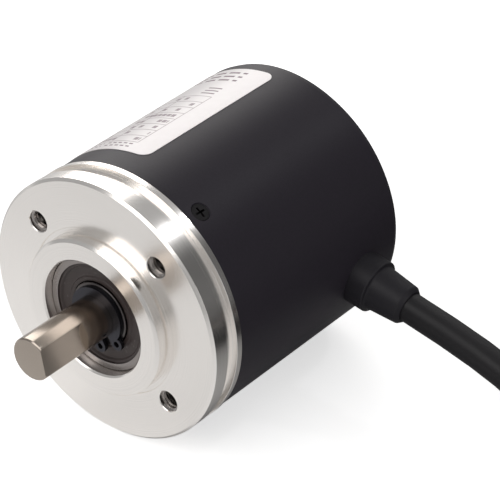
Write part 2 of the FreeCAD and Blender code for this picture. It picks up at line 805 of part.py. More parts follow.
# ---- build every piece ------------------------------------------------------------------------------
os.makedirs("parts", exist_ok=True)
save("flange_housing", flange_housing())
save("cover", cover())
save("cover_oring", cover_oring())
save("cover_screws", *around(cover_screw, screw_count, screw_angle))
save("label", label())
save("shaft", shaft())
save("front_circlip", circlip(front_clip_y, circlip_angle))
save("rear_circlip", circlip(rear_clip_y, circlip_angle))
for place, bearing_y in (("front", front_bearing_y), ("rear", rear_bearing_y)):
    save(place + "_bearing_outer_ring", outer_ring(bearing_y))
    save(place + "_bearing_inner_ring", inner_ring(bearing_y))
    save(place + "_bearing_balls", *balls(bearing_y))
    save(place + "_bearing_cage", cage(bearing_y))
    save(place + "_bearing_near_seal", seal(bearing_y, True))
    save(place + "_bearing_far_seal", seal(bearing_y, False))
save("bearing_spacer", bearing_spacer())
save("preload_spring", preload_spring())
save("disc_hub", disc_hub())
save("hub_set_screw", set_screw())
save("code_disc", code_disc())
save("disc_clamp", disc_clamp())
save("lamp_block", lamp_block())
save("lamp", lamp())
save("lamp_screws", *[lamp_screw(p) for p in lamp_screw_places()])
save("reticle", reticle())
save("sensor_block", sensor_block())
save("circuit_board", board())
save("board_standoffs", *around(standoff, 3, 0))
save("board_screws", *around(board_screw, 3, 0))
save("board_components", *board_parts())
save("connector_header", connector_header())
save("connector_plug", connector_plug())
save("inner_wires", *inner_wires())
save("cable_entry", cable_entry())
save("cable_crimp", cable_crimp())
save("strain_relief", strain_relief())
save("cable_tube", cable_tube())
save("cable_coil", cable_coil())
save("cable_tie", cable_tie())
save("cable_leads", *lead_wires(False))
save("cable_lead_tips", *lead_wires(True))
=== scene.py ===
# %% [markdown]
# # A shaft encoder lying on a table
# This lesson dresses a finished mechanical design. The design comes in as a fixed
# frame of named nodes, and nothing here moves or resizes it. What is added is the
# look: rounded edges, threads, a printed label, a real cable and the finishes.
# The shaft points to -Y, the body runs to +Y and +Z is up. All lengths are metres.

# %% Load the frame
import json
import math

import bpy
import bmesh
from mathutils import Matrix, Vector


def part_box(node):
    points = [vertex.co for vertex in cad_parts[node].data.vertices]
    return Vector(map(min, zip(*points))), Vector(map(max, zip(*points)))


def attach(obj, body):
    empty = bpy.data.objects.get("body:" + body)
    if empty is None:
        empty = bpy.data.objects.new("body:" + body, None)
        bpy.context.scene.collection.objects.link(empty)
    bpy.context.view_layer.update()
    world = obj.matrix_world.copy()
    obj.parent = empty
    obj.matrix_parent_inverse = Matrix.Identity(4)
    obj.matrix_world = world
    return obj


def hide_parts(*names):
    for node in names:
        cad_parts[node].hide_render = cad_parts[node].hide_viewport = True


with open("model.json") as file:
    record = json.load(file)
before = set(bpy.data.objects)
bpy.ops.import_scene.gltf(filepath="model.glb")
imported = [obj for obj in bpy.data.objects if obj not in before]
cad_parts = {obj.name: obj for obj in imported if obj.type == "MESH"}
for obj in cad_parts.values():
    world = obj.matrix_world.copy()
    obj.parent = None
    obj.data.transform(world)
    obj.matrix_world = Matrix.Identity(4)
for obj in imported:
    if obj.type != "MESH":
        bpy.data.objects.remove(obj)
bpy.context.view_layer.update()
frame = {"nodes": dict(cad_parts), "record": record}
nodes = frame["nodes"]
mounts = {m["name"]: m for m in frame["record"]["mounts"]}
colours = {m["slot"]: m["base_color"] for m in frame["record"]["materials"]}
mm = 0.001
print("nodes in the frame:", len(nodes))

# %% [markdown]
# ## Driving sizes
# The main sizes are read from the design: the mounts say how thick the shaft and the
# pilot boss are, and the boxes of the nodes say where each piece starts and ends.
# The small ones, such as an edge's rounding, belong to the looks and are named here.

# %% Sizes read from the frame
def middle_y(name):
    """How far along the shaft the middle of a node lies."""
    low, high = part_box(name)
    return (low.y + high.y) / 2


shaft_r = mounts["shaft_end"]["dims"]["r_mm"] * mm
boss_r = mounts["pilot_boss"]["dims"]["r_mm"] * mm
bolt_circle_r = mounts["face_bolts"]["dims"]["pcd_mm"] / 2 * mm
bolt_r = mounts["face_bolts"]["dims"]["hole_r_mm"] * mm
bolt_count = mounts["face_bolts"]["dims"]["count"]
flange_low, flange_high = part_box("flange_housing")
cover_low, cover_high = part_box("cover")
bearing_low, bearing_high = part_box("front_bearing_outer_ring")
flange_r = flange_high.x
boss_h = -flange_low.y
flange_t = cover_low.y
cover_r = cover_high.z
cover_end = cover_high.y
bearing_r = bearing_high.x
floor_z = -flange_r
bolt_angle = 40.7  # degrees from +Z towards +X, as every angle about the shaft here
print(f"flange {2 * flange_r / mm:.1f} mm, shaft {2 * shaft_r / mm:.1f} mm")

# %% [markdown]
# ## Camera, light and floor
# A small part is best seen from a distance through a long lens, so its edges stay
# nearly parallel. Bare metal shows what stands around it: the edges of two large soft
# boxes draw the broad bands on the rim and the shaft, and a very small one makes the
# sharp glint on the rim. A fourth, at the side, lifts the black cover out of the shade.

# %% Camera
camera_azimuth = 39.33
camera_elevation = 34.08
camera_distance = 0.44
long_lens = 180.6
aim = Vector((0.0101, 0.0274, 0.0027))


def direction(azimuth, elevation):
    """Unit vector from the aim towards a viewer; azimuth 0 stands on the -Y side."""
    a, e = math.radians(azimuth), math.radians(elevation)
    return Vector((math.sin(a) * math.cos(e), -math.cos(a) * math.cos(e), math.sin(e)))


def stand(thing, azimuth, elevation, distance):
    """Puts a camera or a light on a sphere about the aim, looking at the aim."""
    thing.location = aim + distance * direction(azimuth, elevation)
    thing.rotation_mode = "QUATERNION"
    thing.rotation_quaternion = (aim - thing.location).to_track_quat("-Z", "Y")
    bpy.context.collection.objects.link(thing)


camera = bpy.data.objects.new("camera", bpy.data.cameras.new("camera"))
camera.data.sensor_width = 36
camera.data.lens = long_lens
stand(camera, camera_azimuth, camera_elevation, camera_distance)
bpy.context.scene.camera = camera
bpy.context.scene.view_settings.view_transform = "Standard"


# %% Soft boxes
def soft_box(name, azimuth, elevation, distance, width, height, glow, tint):
    """Rectangular light facing the object. Glow is how bright its surface looks."""
    light = bpy.data.objects.new(name, bpy.data.lights.new(name, "AREA"))
    light.data.shape = "RECTANGLE"
    light.data.size = width
    light.data.size_y = height
    light.data.energy = glow * math.pi * width * height
    light.data.color = tint
    stand(light, azimuth, elevation, distance)


soft_box("overhead_light", 229, 27, 1.1, 0.72, 0.86, 2.4, (1.0, 0.975, 0.95))
soft_box("front_light", 0, 48, 1.2, 1.1, 0.7, 1.6, (1.0, 0.985, 0.97))
soft_box("spark_light", 157, 47, 0.9, 0.05, 0.05, 42.0, (0.97, 0.98, 1.0))
soft_box("side_fill", 96, 8, 1.0, 0.6, 0.6, 1.3, (1.0, 0.98, 0.98))

# %% [markdown]
# A few helpers keep the node trees readable from here on. They add a node and join its
# inputs, do a sum, stretch a range, mix two colours, make an empty group with named
# sockets, and make a material and hand over its tree and its shader.

# %% Node helpers
def join(tree, node, inputs):
    """Inputs is a dict from a socket's name or number to a value or another socket."""
    for name, value in dict(inputs).items():
        if isinstance(value, bpy.types.NodeSocket):
            tree.links.new(value, node.inputs[name])
        else:
            node.inputs[name].default_value = value


def add(tree, kind, inputs=(), **settings):
    """Adds a node with its settings and joins its inputs."""
    made = tree.nodes.new(kind)
    for name, value in settings.items():
        setattr(made, name, value)
    join(tree, made, inputs)
    return made


def sum_of(tree, operation, *values):
    """A Math node's result; values are numbers or sockets."""
    return add(tree, "ShaderNodeMath", dict(enumerate(values)), operation=operation).outputs[0]


def ramp(tree, value, low, high, start=0.0, end=1.0):
    """Low where the value is at the start, high at the end, a straight line between."""
    return add(tree, "ShaderNodeMapRange", {"Value": value, "From Min": start, "From Max": end,
                                            "To Min": low, "To Max": high}).outputs[0]


def colour_mix(tree, share, first, second):
    """The first colour where the share is 0, the second where it is 1."""
    return add(tree, "ShaderNodeMix", {"Factor": share, 6: first, 7: second},
               data_type="RGBA").outputs[2]


def noise(tree, place, scale, detail=2.0):
    """Soft random patches, so many per metre."""
    return add(tree, "ShaderNodeTexNoise", {"Vector": place, "Scale": scale,
                                            "Detail": detail}).outputs[0]


def new_group(name, kind, inputs, outputs):
    """A node group, what comes into it and what goes out, from lists of its sockets."""
    tree = bpy.data.node_groups.new(name, kind)
    for label, socket, default in inputs:
        made = tree.interface.new_socket(label, in_out="INPUT", socket_type=socket)
        if default is not None:
            made.default_value = default
    for label, socket in outputs:
        tree.interface.new_socket(label, in_out="OUTPUT", socket_type=socket)
    return tree, tree.nodes.new("NodeGroupInput").outputs, tree.nodes.new("NodeGroupOutput").inputs


FLOAT, VECTOR = "NodeSocketFloat", "NodeSocketVector"


def new_material(name):
    """A material, its node tree and its Principled shader."""
    made = bpy.data.materials.new(name)
    made.use_nodes = True
    return made, made.node_tree, made.node_tree.nodes["Principled BSDF"]


# %% [markdown]
# Round bare metal needs something dark to reflect as well as something bright, or it
# looks like chalk. So the room is pale to the eye, but one side of it, behind and to
# the right, is dark in reflections, and the table in front of the flange is bright.

# %% Studio room
dark_side = direction(133, 12)
dark_from, dark_to = 0.83, 0.91  # cosines of the angle from the middle of the dark side
room_glow = 0.38
dark_glow = 0.10
backdrop_glow = 0.95
world = bpy.data.worlds.new("studio")
world.use_nodes = True
room = world.node_tree
looking = add(room, "ShaderNodeTexCoord").outputs["Generated"]
towards = add(room, "ShaderNodeVectorMath", {0: looking, 1: dark_side}, operation="DOT_PRODUCT")
shade = ramp(room, towards.outputs["Value"], room_glow, dark_glow, dark_from, dark_to)
seen = add(room, "ShaderNodeLightPath").outputs["Is Camera Ray"]
join(room, room.nodes["Background"], {"Strength": ramp(room, seen, shade, backdrop_glow),
                                      "Color": (1.0, 1.0, 1.0, 1)})
bpy.context.scene.world = world

# %% [markdown]
# The floor is a plain pale sheet to the eye. In reflections it is bright close to the
# flange, which the flange's face mirrors, and falls off behind the body to the right.

# %% Floor
half = 3.0
floor_tone = 0.92
seen_glow = 0.62
near_tone, far_tone = 0.70, 0.12  # in reflections, behind the body
tone_from, tone_to = 0.03, 0.085
near_glow, far_glow = 0.35, 0.15  # in reflections, before the flange
glow_to = 0.05
floor_mesh = bpy.data.meshes.new("floor")
floor_mesh.from_pydata([(-half, -half, floor_z), (half, -half, floor_z),
                        (half, half, floor_z), (-half, half, floor_z)], [], [(0, 1, 2, 3)])
floor = bpy.data.objects.new("floor", floor_mesh)
bpy.context.collection.objects.link(floor)
floor_paint, tree, paint = new_material("floor_paint")
spot = add(tree, "ShaderNodeTexCoord").outputs["Object"]
ray = add(tree, "ShaderNodeLightPath").outputs


def metres_towards(azimuth):
    """How far a point of the floor lies from the origin in a direction."""
    return add(tree, "ShaderNodeVectorMath", {0: spot, 1: direction(azimuth, 0)},
               operation="DOT_PRODUCT").outputs["Value"]


mirrored = ramp(tree, metres_towards(129), near_tone, far_tone, tone_from, tone_to)
in_front = sum_of(tree, "MULTIPLY", ramp(tree, metres_towards(0), near_glow, far_glow, 0.0, glow_to),
                  sum_of(tree, "GREATER_THAN", metres_towards(0), 0.0))
glow = sum_of(tree, "ADD", sum_of(tree, "MULTIPLY", ray["Is Camera Ray"], seen_glow),
              sum_of(tree, "MULTIPLY", ray["Is Glossy Ray"], in_front))
join(tree, paint, {"Base Color": ramp(tree, ray["Is Glossy Ray"], floor_tone, mirrored),
                   "Emission Strength": glow, "Emission Color": (1.0, 1.0, 1.0, 1),
                   "Roughness": 0.9, "Specular IOR Level": 0.1})
floor_mesh.materials.append(floor_paint)

# %% [markdown]
# ## Building blocks for finishes
# No real surface is one flat colour. Three effects return all over this object, so
# each is a node group with named inputs, made once: the fine rings that a lathe tool
# leaves, the fine grain of paint, rubber and moulded plastic, and the smudges of
# handling. A group gives out only values; the shader stays in the material itself.


# %% Node group: turning marks
def make_turning_marks():
    """Rings about the shaft's axis: across a face they follow the radius, on a
    cylinder they follow the length, so the sum of both runs through each."""
    tree, given, out = new_group(
        "turning_marks", "ShaderNodeTree",
        [("Vector", VECTOR, None), ("Rings per metre", FLOAT, 4000.0), ("Unevenness", FLOAT, 0.5)],
        [("Tone", FLOAT), ("Height", FLOAT)])
    parts = add(tree, "ShaderNodeSeparateXYZ", {0: given["Vector"]}).outputs
    square = sum_of(tree, "ADD", sum_of(tree, "MULTIPLY", parts["X"], parts["X"]),
                    sum_of(tree, "MULTIPLY", parts["Z"], parts["Z"]))
    along = sum_of(tree, "ADD", sum_of(tree, "SQRT", square), parts["Y"])
    rings = sum_of(tree, "MULTIPLY", along, given["Rings per metre"])
    fine = add(tree, "ShaderNodeTexNoise", {"W": rings, "Scale": 1.0, "Detail": 3.0},
               noise_dimensions="1D")
    patch = sum_of(tree, "MULTIPLY", noise(tree, given["Vector"], 60.0), given["Unevenness"])
    tree.links.new(sum_of(tree, "ADD", fine.outputs[0], patch), out["Tone"])
    tree.links.new(fine.outputs[0], out["Height"])
    return tree


turning_marks = make_turning_marks()


# %% Node group: fine grain
def make_fine_grain():
    """Two sizes of grain together, as orange peel over a matt paint."""
    tree, given, out = new_group(
        "fine_grain", "ShaderNodeTree",
        [("Vector", VECTOR, None), ("Grains per metre", FLOAT, 3000.0), ("Peel", FLOAT, 0.4)],
        [("Tone", FLOAT), ("Height", FLOAT)])
    fine = noise(tree, given["Vector"], given["Grains per metre"])
    wide_scale = sum_of(tree, "MULTIPLY", given["Grains per metre"], 0.22)
    peel = sum_of(tree, "MULTIPLY", noise(tree, given["Vector"], wide_scale), given["Peel"])
    tree.links.new(sum_of(tree, "ADD", fine, peel), out["Height"])
    tree.links.new(fine, out["Tone"])
    return tree


fine_grain = make_fine_grain()


# %% Node group: smudges
def make_smudges():
    """Broad soft patches, put out as a roughness, and sparse fine specks of dust."""
    tree, given, out = new_group(
        "smudges", "ShaderNodeTree",
        [("Vector", VECTOR, None), ("Roughness", FLOAT, 0.4), ("Amount", FLOAT, 0.08)],
        [("Roughness", FLOAT), ("Dust", FLOAT)])
    broad = add(tree, "ShaderNodeTexNoise", {"Vector": given["Vector"], "Scale": 90.0,
                                             "Detail": 4.0, "Roughness": 0.6})
    centred = sum_of(tree, "SUBTRACT", broad.outputs[0], 0.5)
    change = sum_of(tree, "MULTIPLY", centred, given["Amount"])
    tree.links.new(sum_of(tree, "ADD", given["Roughness"], change), out["Roughness"])
    specks = noise(tree, given["Vector"], 1500.0, 1.0)
    tree.links.new(ramp(tree, specks, 0.0, 1.0, 0.70, 0.78), out["Dust"])
    return tree


smudges = make_smudges()


# %% [markdown]
# ## One recipe for most finishes
# Paint, rubber, plastic and metal differ in a few numbers: colour, metal or not,
# roughness, how deep the grain is. One function takes those numbers and joins the
# groups to a Principled shader. Numbers that are the same all over sit on the
# shader's own sockets, so that they survive an export.

# %% Finish recipe
finishes = {}
dust_colour = (0.5, 0.48, 0.45, 1)


def finish(name, marks=fine_grain, per_metre=3000.0, depth=0.00001, tone=0.15, roughness=0.5,
           smudge=0.1, metallic=0.0, specular=0.5, coat=0.0, uneven=0.5, dust=0.0, colour=None):
    """A material named for its slot, from a marks group, a depth of relief in metres
    and the share by which the marks darken and lighten the colour."""
    made, tree, shader = new_material(name)
    base = list(colour or colours[name])[:3]
    place = add(tree, "ShaderNodeTexCoord").outputs["Object"]
    relief = add(tree, "ShaderNodeGroup", {0: place, 1: per_metre, 2: uneven},
                 node_tree=marks).outputs
    wear = add(tree, "ShaderNodeGroup", {0: place, "Roughness": roughness, "Amount": smudge},
               node_tree=smudges).outputs
    darker = [c * (1 - tone) for c in base] + [1]
    lighter = [min(1.0, c * (1 + tone)) for c in base] + [1]
    level = ramp(tree, relief["Tone"], 0.0, 1.0, 0.3, 0.7 + uneven / 2)
    clean = colour_mix(tree, level, darker, lighter)
    dusty = colour_mix(tree, sum_of(tree, "MULTIPLY", wear["Dust"], dust), clean, dust_colour)
    bump = add(tree, "ShaderNodeBump", {"Height": relief["Height"], "Distance": depth,
                                        "Strength": 1.0})
    join(tree, shader, {"Base Color": dusty, "Roughness": wear["Roughness"],
                        "Normal": bump.outputs[0], "Metallic": metallic,
                        "Specular IOR Level": specular, "Coat Weight": coat})
    finishes[name] = made


# %% [markdown]
# The flange is turned on a lathe and left bare, so its faces carry fine rings. The
# shaft is ground: the same rings, but nearly three times finer and a third as deep.
# The cover is powder coated: low gloss with a trace of orange peel. Rubber and cable
# sheath have a deeper grain, and each inner piece has the finish it is bought with.

# %% Finishes, outside pieces
finish("turned_aluminium", turning_marks, 5200.0, 0.000003, 0.05, 0.22, 0.08, 1.0, uneven=0.3,
       colour=(0.93, 0.90, 0.87))
# A darker copy of the turned aluminium for the thread crests: painted shade inside the tapped holes.
finish("turned_aluminium_thread", turning_marks, 5200.0, 0.000002, 0.1, 0.25, 0.1, 1.0,
       colour=(0.34, 0.32, 0.31))
finish("ground_shaft", turning_marks, 14000.0, 0.000001, 0.05, 0.19, 0.05, 1.0, uneven=0.4,
       colour=(0.44, 0.385, 0.335))
finish("black_cover", fine_grain, 2600.0, 0.000008, 0.10, 0.44, 0.08, specular=0.22,
       colour=(0.0260, 0.0222, 0.0300))
finish("boot_rubber", fine_grain, 3500.0, 0.00001, 0.12, 0.50, 0.12, specular=0.32,
       colour=(0.0155, 0.0140, 0.0185))
finish("cable_sheath", fine_grain, 2200.0, 0.000012, 0.12, 0.44, 0.10, specular=0.35,
       colour=(0.012, 0.011, 0.013))
finish("black_screw", fine_grain, 6000.0, 0.000004, 0.15, 0.45, 0.15, specular=0.2,
       colour=(0.008, 0.007, 0.008))
finish("bearing_steel", turning_marks, 12000.0, 0.0000015, 0.05, 0.28, 0.08, 1.0,
       colour=(0.30, 0.275, 0.265))
# The same bearing steel, darker: painted shade for the inner ring, which sits in the shade of the
# shaft.
finish("bearing_steel_inner", turning_marks, 12000.0, 0.0000015, 0.05, 0.28, 0.08, 1.0,
       colour=(0.11, 0.10, 0.10))
finish("bearing_seal_rubber", turning_marks, 5000.0, 0.000004, 0.18, 0.42, 0.15,
       specular=0.4, dust=0.12)
finish("spring_steel", fine_grain, 5000.0, 0.000002, 0.15, 0.34, 0.15, 0.9,
       colour=(0.05, 0.05, 0.06))
finish("tinned_copper", fine_grain, 8000.0, 0.000004, 0.12, 0.35, 0.15, 1.0)

# %% Finishes, inside pieces
finish("black_seal_rubber", fine_grain, 4000.0, 0.000005, 0.1, 0.45)
finish("ball_steel", fine_grain, 9000.0, 0.0000003, 0.03, 0.08, 0.03, 1.0)
finish("cage_plastic", fine_grain, 3000.0, 0.000006, 0.08, 0.5)
finish("spacer_steel", turning_marks, 6000.0, 0.000003, 0.06, 0.3, 0.1, 1.0)
finish("hub_aluminium", turning_marks, 6000.0, 0.000003, 0.06, 0.28, 0.1, 1.0)
finish("zinc_steel", fine_grain, 5000.0, 0.000003, 0.08, 0.3, 0.12, 1.0)
finish("black_moulding", fine_grain, 3500.0, 0.000008, 0.1, 0.5)
finish("board_green", fine_grain, 1200.0, 0.000006, 0.2, 0.3, 0.1, coat=0.3)
finish("component_black", fine_grain, 5000.0, 0.000006, 0.15, 0.55)
finish("connector_white", fine_grain, 3000.0, 0.000004, 0.05, 0.4)
finish("lead_insulation", fine_grain, 4000.0, 0.000004, 0.08, 0.4)
finish("crimp_metal", fine_grain, 4000.0, 0.000004, 0.08, 0.32, 0.1, 1.0)
finish("tie_fabric", fine_grain, 2500.0, 0.00006, 0.35, 0.85, 0.1, specular=0.2)
print("finishes:", len(finishes))


# %% [markdown]
# The code disc is glass with dark radial lines: the angle about the shaft, split
# into many equal steps, says where a line is. The lamp's lens is plain clear resin.
# Glass keeps a plain transmission value, and only its colour follows the pattern.

# %% Finishes, glass
line_count = 180


def glass(name, lines):
    """Clear material, with dark radial lines or with a faint cloudiness."""
    made, tree, shader = new_material(name)
    place = add(tree, "ShaderNodeTexCoord").outputs["Object"]
    if lines:
        parts = add(tree, "ShaderNodeSeparateXYZ", {0: place}).outputs
        angle = sum_of(tree, "ARCTAN2", parts["X"], parts["Z"])
        step = sum_of(tree, "MULTIPLY", angle, line_count / (2 * math.pi))
        pattern = sum_of(tree, "GREATER_THAN", sum_of(tree, "FRACT", step), 0.5)
    else:
        pattern = noise(tree, place, 400.0)
    tint = list(colours[name])[:3]
    dark = [c * (0.1 if lines else 0.85) for c in tint] + [1]
    join(tree, shader, {"Base Color": colour_mix(tree, pattern, dark, tint + [1]),
                        "Transmission Weight": 0.9, "Roughness": 0.04, "IOR": 1.5})
    finishes[name] = made


glass("disc_glass", True)
glass("lamp_lens", False)

# %% [markdown]
# ## Turned pieces
# Most of an encoder comes off a lathe, and Blender's Screw modifier is a lathe too:
# it spins an outline about an axis. The outline is drawn as (radius, length) corners,
# and each corner is rounded a little first, because it is the small rounding that
# catches the light along a real edge.

# %% Outline and lathe helpers
round_steps = 3
lathe_steps = 144


def rounded(corners, radius):
    """Outline with each corner replaced by a small arc. A corner may carry its own
    radius as a third number."""
    points = []
    count = len(corners)
    for k, corner in enumerate(corners):
        here = Vector(corner[:2])
        back = Vector(corners[k - 1][:2]) - here
        ahead = Vector(corners[(k + 1) % count][:2]) - here
        wanted = corner[2] if len(corner) > 2 else radius
        turn = math.pi - back.angle(ahead)
        reach = min(wanted * math.tan(turn / 2), 0.45 * back.length, 0.45 * ahead.length)
        if here.x < 1e-6 or reach < 1e-7 or turn < 0.02:
            points.append(here)
            continue
        first = here + back.normalized() * reach
        last = here + ahead.normalized() * reach
        size = reach / math.tan(turn / 2)
        centre = here + (back.normalized() + ahead.normalized()).normalized() * math.hypot(
            size, reach)
        start = math.atan2(first.y - centre.y, first.x - centre.x)
        sweep = math.atan2(last.y - centre.y, last.x - centre.x) - start
        sweep = (sweep + math.pi) % (2 * math.pi) - math.pi
        for step in range(round_steps + 1):
            a = start + sweep * step / round_steps
            points.append(centre + size * Vector((math.cos(a), math.sin(a))))
    return points


def link(name, mesh):
    """Puts a mesh or a curve into the scene as an object of the same name."""
    made = bpy.data.objects.new(name, mesh)
    bpy.context.collection.objects.link(made)
    return made


def as_piece(name, shape):
    """Turns a finished bmesh into an object in the scene."""
    mesh = bpy.data.meshes.new(name)
    shape.to_mesh(mesh)
    shape.free()
    return link(name, mesh)


def settle(piece):
    """Turns what the modifiers make into the piece's own plain mesh."""
    seen = piece.evaluated_get(bpy.context.evaluated_depsgraph_get())
    made = bpy.data.meshes.new_from_object(seen)
    piece.modifiers.clear()
    piece.data = made
    return piece


def face_outwards(piece, weld=1e-7):
    """Merges doubled points, then turns every face to the outside."""
    shape = bmesh.new()
    shape.from_mesh(piece.data)
    bmesh.ops.remove_doubles(shape, verts=shape.verts, dist=weld)
    bmesh.ops.recalc_face_normals(shape, faces=shape.faces)
    shape.to_mesh(piece.data)
    shape.free()
    return piece


def turned(name, corners, rounding=0.08 * mm, steps=lathe_steps):
    """Piece spun about the shaft's axis from an outline of (radius, y) corners."""
    points = rounded(corners, rounding)
    mesh = bpy.data.meshes.new(name)
    edges = [(k, (k + 1) % len(points)) for k in range(len(points))]
    on_axis = [k for k, p in enumerate(points) if p.x < 1e-6]
    edges = [e for e in edges if not (e[0] in on_axis and e[1] in on_axis)]
    mesh.from_pydata([(p.x, p.y, 0) for p in points], edges, [])
    piece = link(name, mesh)
    lathe = piece.modifiers.new("lathe", "SCREW")
    lathe.axis = "Y"
    lathe.angle = 2 * math.pi
    lathe.steps = lathe.render_steps = steps
    lathe.use_merge_vertices = True
    lathe.merge_threshold = 1e-7
    return face_outwards(settle(piece))


def carve(piece, cutters):
    """Takes the cutters out of a piece, and throws them away."""
    for cutter in cutters:
        cut = piece.modifiers.new("cut", "BOOLEAN")
        cut.operation = "DIFFERENCE"
        cut.solver = "EXACT"
        cut.object = cutter
    settle(piece)
    for cutter in cutters:
        bpy.data.objects.remove(cutter)
    return piece


def dress(piece, body, slot, replaces=(), sharp=32):
    """Last steps of every piece: smooth shading, finish, body and the nodes it stands for."""
    if piece.type == "MESH":
        piece.data.shade_smooth()
        piece.data.set_sharp_from_angle(angle=math.radians(sharp))
        # Flat faces keep an even shade up to their rounded edges.
        weigh = piece.modifiers.new("weighted normals", "WEIGHTED_NORMAL")
        weigh.keep_sharp = True
        settle(piece)
        piece.data.materials.clear()
    piece.data.materials.append(finishes[slot])
    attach(piece, body)
    # A finish that is a slot's name and one more word, such as a colour, is that slot's.
    if replaces:
        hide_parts(*replaces)
    return piece


def box_cutter(low, high, angle=0.0):
    """Box from corner to corner, turned about the shaft's axis (degrees, +Z towards +X)."""
    shape = bmesh.new()
    bmesh.ops.create_cube(shape, size=1.0)
    size = Vector(high) - Vector(low)
    middle = (Vector(high) + Vector(low)) / 2
    place = Matrix.Rotation(math.radians(angle), 4, "Y") @ Matrix.Translation(middle)
    shape.transform(place @ Matrix.Diagonal((*size, 1)))
    return as_piece("cutter", shape)


# %% [markdown]
# ## A ring of copies
# Tapped holes, screws and balls all repeat around the shaft. One Geometry Nodes tree
# does it: it makes the points from a count and a radius, turns each copy to face
# outwards, and makes the copies real, because an export drops instances.


# %% Geometry Nodes: ring of copies
def make_copy_ring():
    """Points on a ring about the shaft, with a copy on each, turned outwards."""
    tree, given, out = new_group(
        "ring_of_copies", "GeometryNodeTree",
        [("Geometry", "NodeSocketGeometry", None), ("Count", "NodeSocketInt", 4),
         ("Radius", FLOAT, 0.01), ("Height", FLOAT, 0.0), ("Start angle", FLOAT, 0.0),
         ("Material", "NodeSocketMaterial", None)],
        [("Geometry", "NodeSocketGeometry")])
    index = tree.nodes.new("GeometryNodeInputIndex").outputs[0]
    step = sum_of(tree, "DIVIDE", 2 * math.pi, given["Count"])
    angle = sum_of(tree, "ADD", sum_of(tree, "MULTIPLY", index, step), given["Start angle"])
    across = sum_of(tree, "MULTIPLY", sum_of(tree, "SINE", angle), given["Radius"])
    up = sum_of(tree, "MULTIPLY", sum_of(tree, "COSINE", angle), given["Radius"])
    place = add(tree, "ShaderNodeCombineXYZ", {"X": across, "Y": given["Height"], "Z": up})
    turn = add(tree, "ShaderNodeCombineXYZ", {"Y": angle})
    points = add(tree, "GeometryNodePoints", {"Count": given["Count"], "Position": place.outputs[0]})
    copies = add(tree, "GeometryNodeInstanceOnPoints",
                 {"Points": points.outputs[0], "Instance": given["Geometry"],
                  "Rotation": turn.outputs[0]})
    real = add(tree, "GeometryNodeRealizeInstances", {0: copies.outputs[0]})
    painted = add(tree, "GeometryNodeSetMaterial", {"Geometry": real.outputs[0],
                                                    "Material": given["Material"]})
    tree.links.new(painted.outputs[0], out[0])
    return tree


copy_ring = make_copy_ring()


def set_inputs(modifier, values):
    """Sets a Geometry Nodes modifier's inputs by the names of its tree's sockets."""
    for item in modifier.node_group.interface.items_tree:
        if item.in_out == "INPUT" and item.name in values:
            modifier[item.identifier] = values[item.name]


def repeat(piece, count, radius, height, start, slot):
    """Copies a piece made at the origin, its outward side up, around the shaft."""
    ring = piece.modifiers.new("ring of copies", "NODES")
    ring.node_group = copy_ring
    set_inputs(ring, {"Count": count, "Radius": radius, "Height": height,
                      "Start angle": math.radians(start), "Material": finishes[slot]})
    return settle(piece)


# %% [markdown]
# ## Flange housing
# One piece of aluminium: the pilot boss that centres the encoder, the mounting face
# with four tapped holes, a groove round the rim for servo clamps, the spigot that the
# cover is pushed over, and the tube that carries the bearings. It is spun from one
# outline, and then the holes are cut, as on the real piece.

# %% Flange housing
groove_start = 3.4 * mm
groove_end = 5.9 * mm
groove_floor_r = flange_r - 1.0 * mm
foot_groove = 0.9 * mm
foot_depth = 0.3 * mm
spigot_r = cover_r - 1.65 * mm
front_seat = bearing_high.y
spring_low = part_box("preload_spring")[0].y
land_r = 9.2 * mm
tube_r = bearing_r + 2.5 * mm
spigot_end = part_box("lamp_block")[0].y
oring_low, oring_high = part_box("cover_oring")
oring_floor_r = spigot_r - 1.1 * mm
oring_room = 0.2 * mm
chamfer = 0.5 * mm
mouth_bevel = 0.3 * mm
tube_end = flange_high.y
flange = turned("flange_body", [
    (bearing_r + mouth_bevel, -boss_h), (boss_r - chamfer, -boss_h), (boss_r, chamfer - boss_h),
    (boss_r, foot_depth, 0.05 * mm), (boss_r + foot_groove, foot_depth, 0.05 * mm),
    (boss_r + foot_groove, 0), (flange_r - chamfer, 0), (flange_r, chamfer),
    (flange_r, groove_start), (groove_floor_r, groove_start), (groove_floor_r, groove_end),
    (flange_r, groove_end), (flange_r, flange_t), (spigot_r, flange_t),
    (spigot_r, oring_low.y - oring_room), (oring_floor_r, oring_low.y - oring_room),
    (oring_floor_r, oring_high.y + oring_room), (spigot_r, oring_high.y + oring_room),
    (spigot_r, spigot_end), (tube_r, spigot_end), (tube_r, tube_end), (bearing_r, tube_end),
    (bearing_r, spring_low), (land_r, spring_low), (land_r, front_seat),
    (bearing_r, front_seat), (bearing_r, mouth_bevel - boss_h)])
bolt_depth = 7.5 * mm
drill_tip = 1.2 * mm
countersink = 0.14 * mm
spare = 1 * mm  # how far a cutting tool stands out of what it cuts
drill = turned("drill", [
    (0, -spare), (bolt_r + countersink + spare, -spare), (bolt_r + countersink, 0),
    (bolt_r, countersink), (bolt_r, bolt_depth), (0, bolt_depth + drill_tip)], 0, 40)
repeat(drill, bolt_count, bolt_circle_r, 0.0, bolt_angle, "turned_aluminium")
carve(flange, [drill])
dress(flange, "housing", "turned_aluminium", ["flange_housing"])
print("flange faces:", len(flange.data.polygons))

# %% [markdown]
# ## Threads
# A tapped hole looks dark with bright glints, because the thread's crests catch the
# light. The crest is a spiral with a three-sided section. Geometry Nodes draws it
# from its radius, pitch and number of turns, and the ring of copies puts one in each hole.
# The crests wear a darker copy of the flange's aluminium: painted shade of the deep hole.

# %% Geometry Nodes: thread crest
thread_pitch = 0.7 * mm
thread_turns = 9.0
thread_depth = 0.36 * mm
thread_start = 0.45 * mm


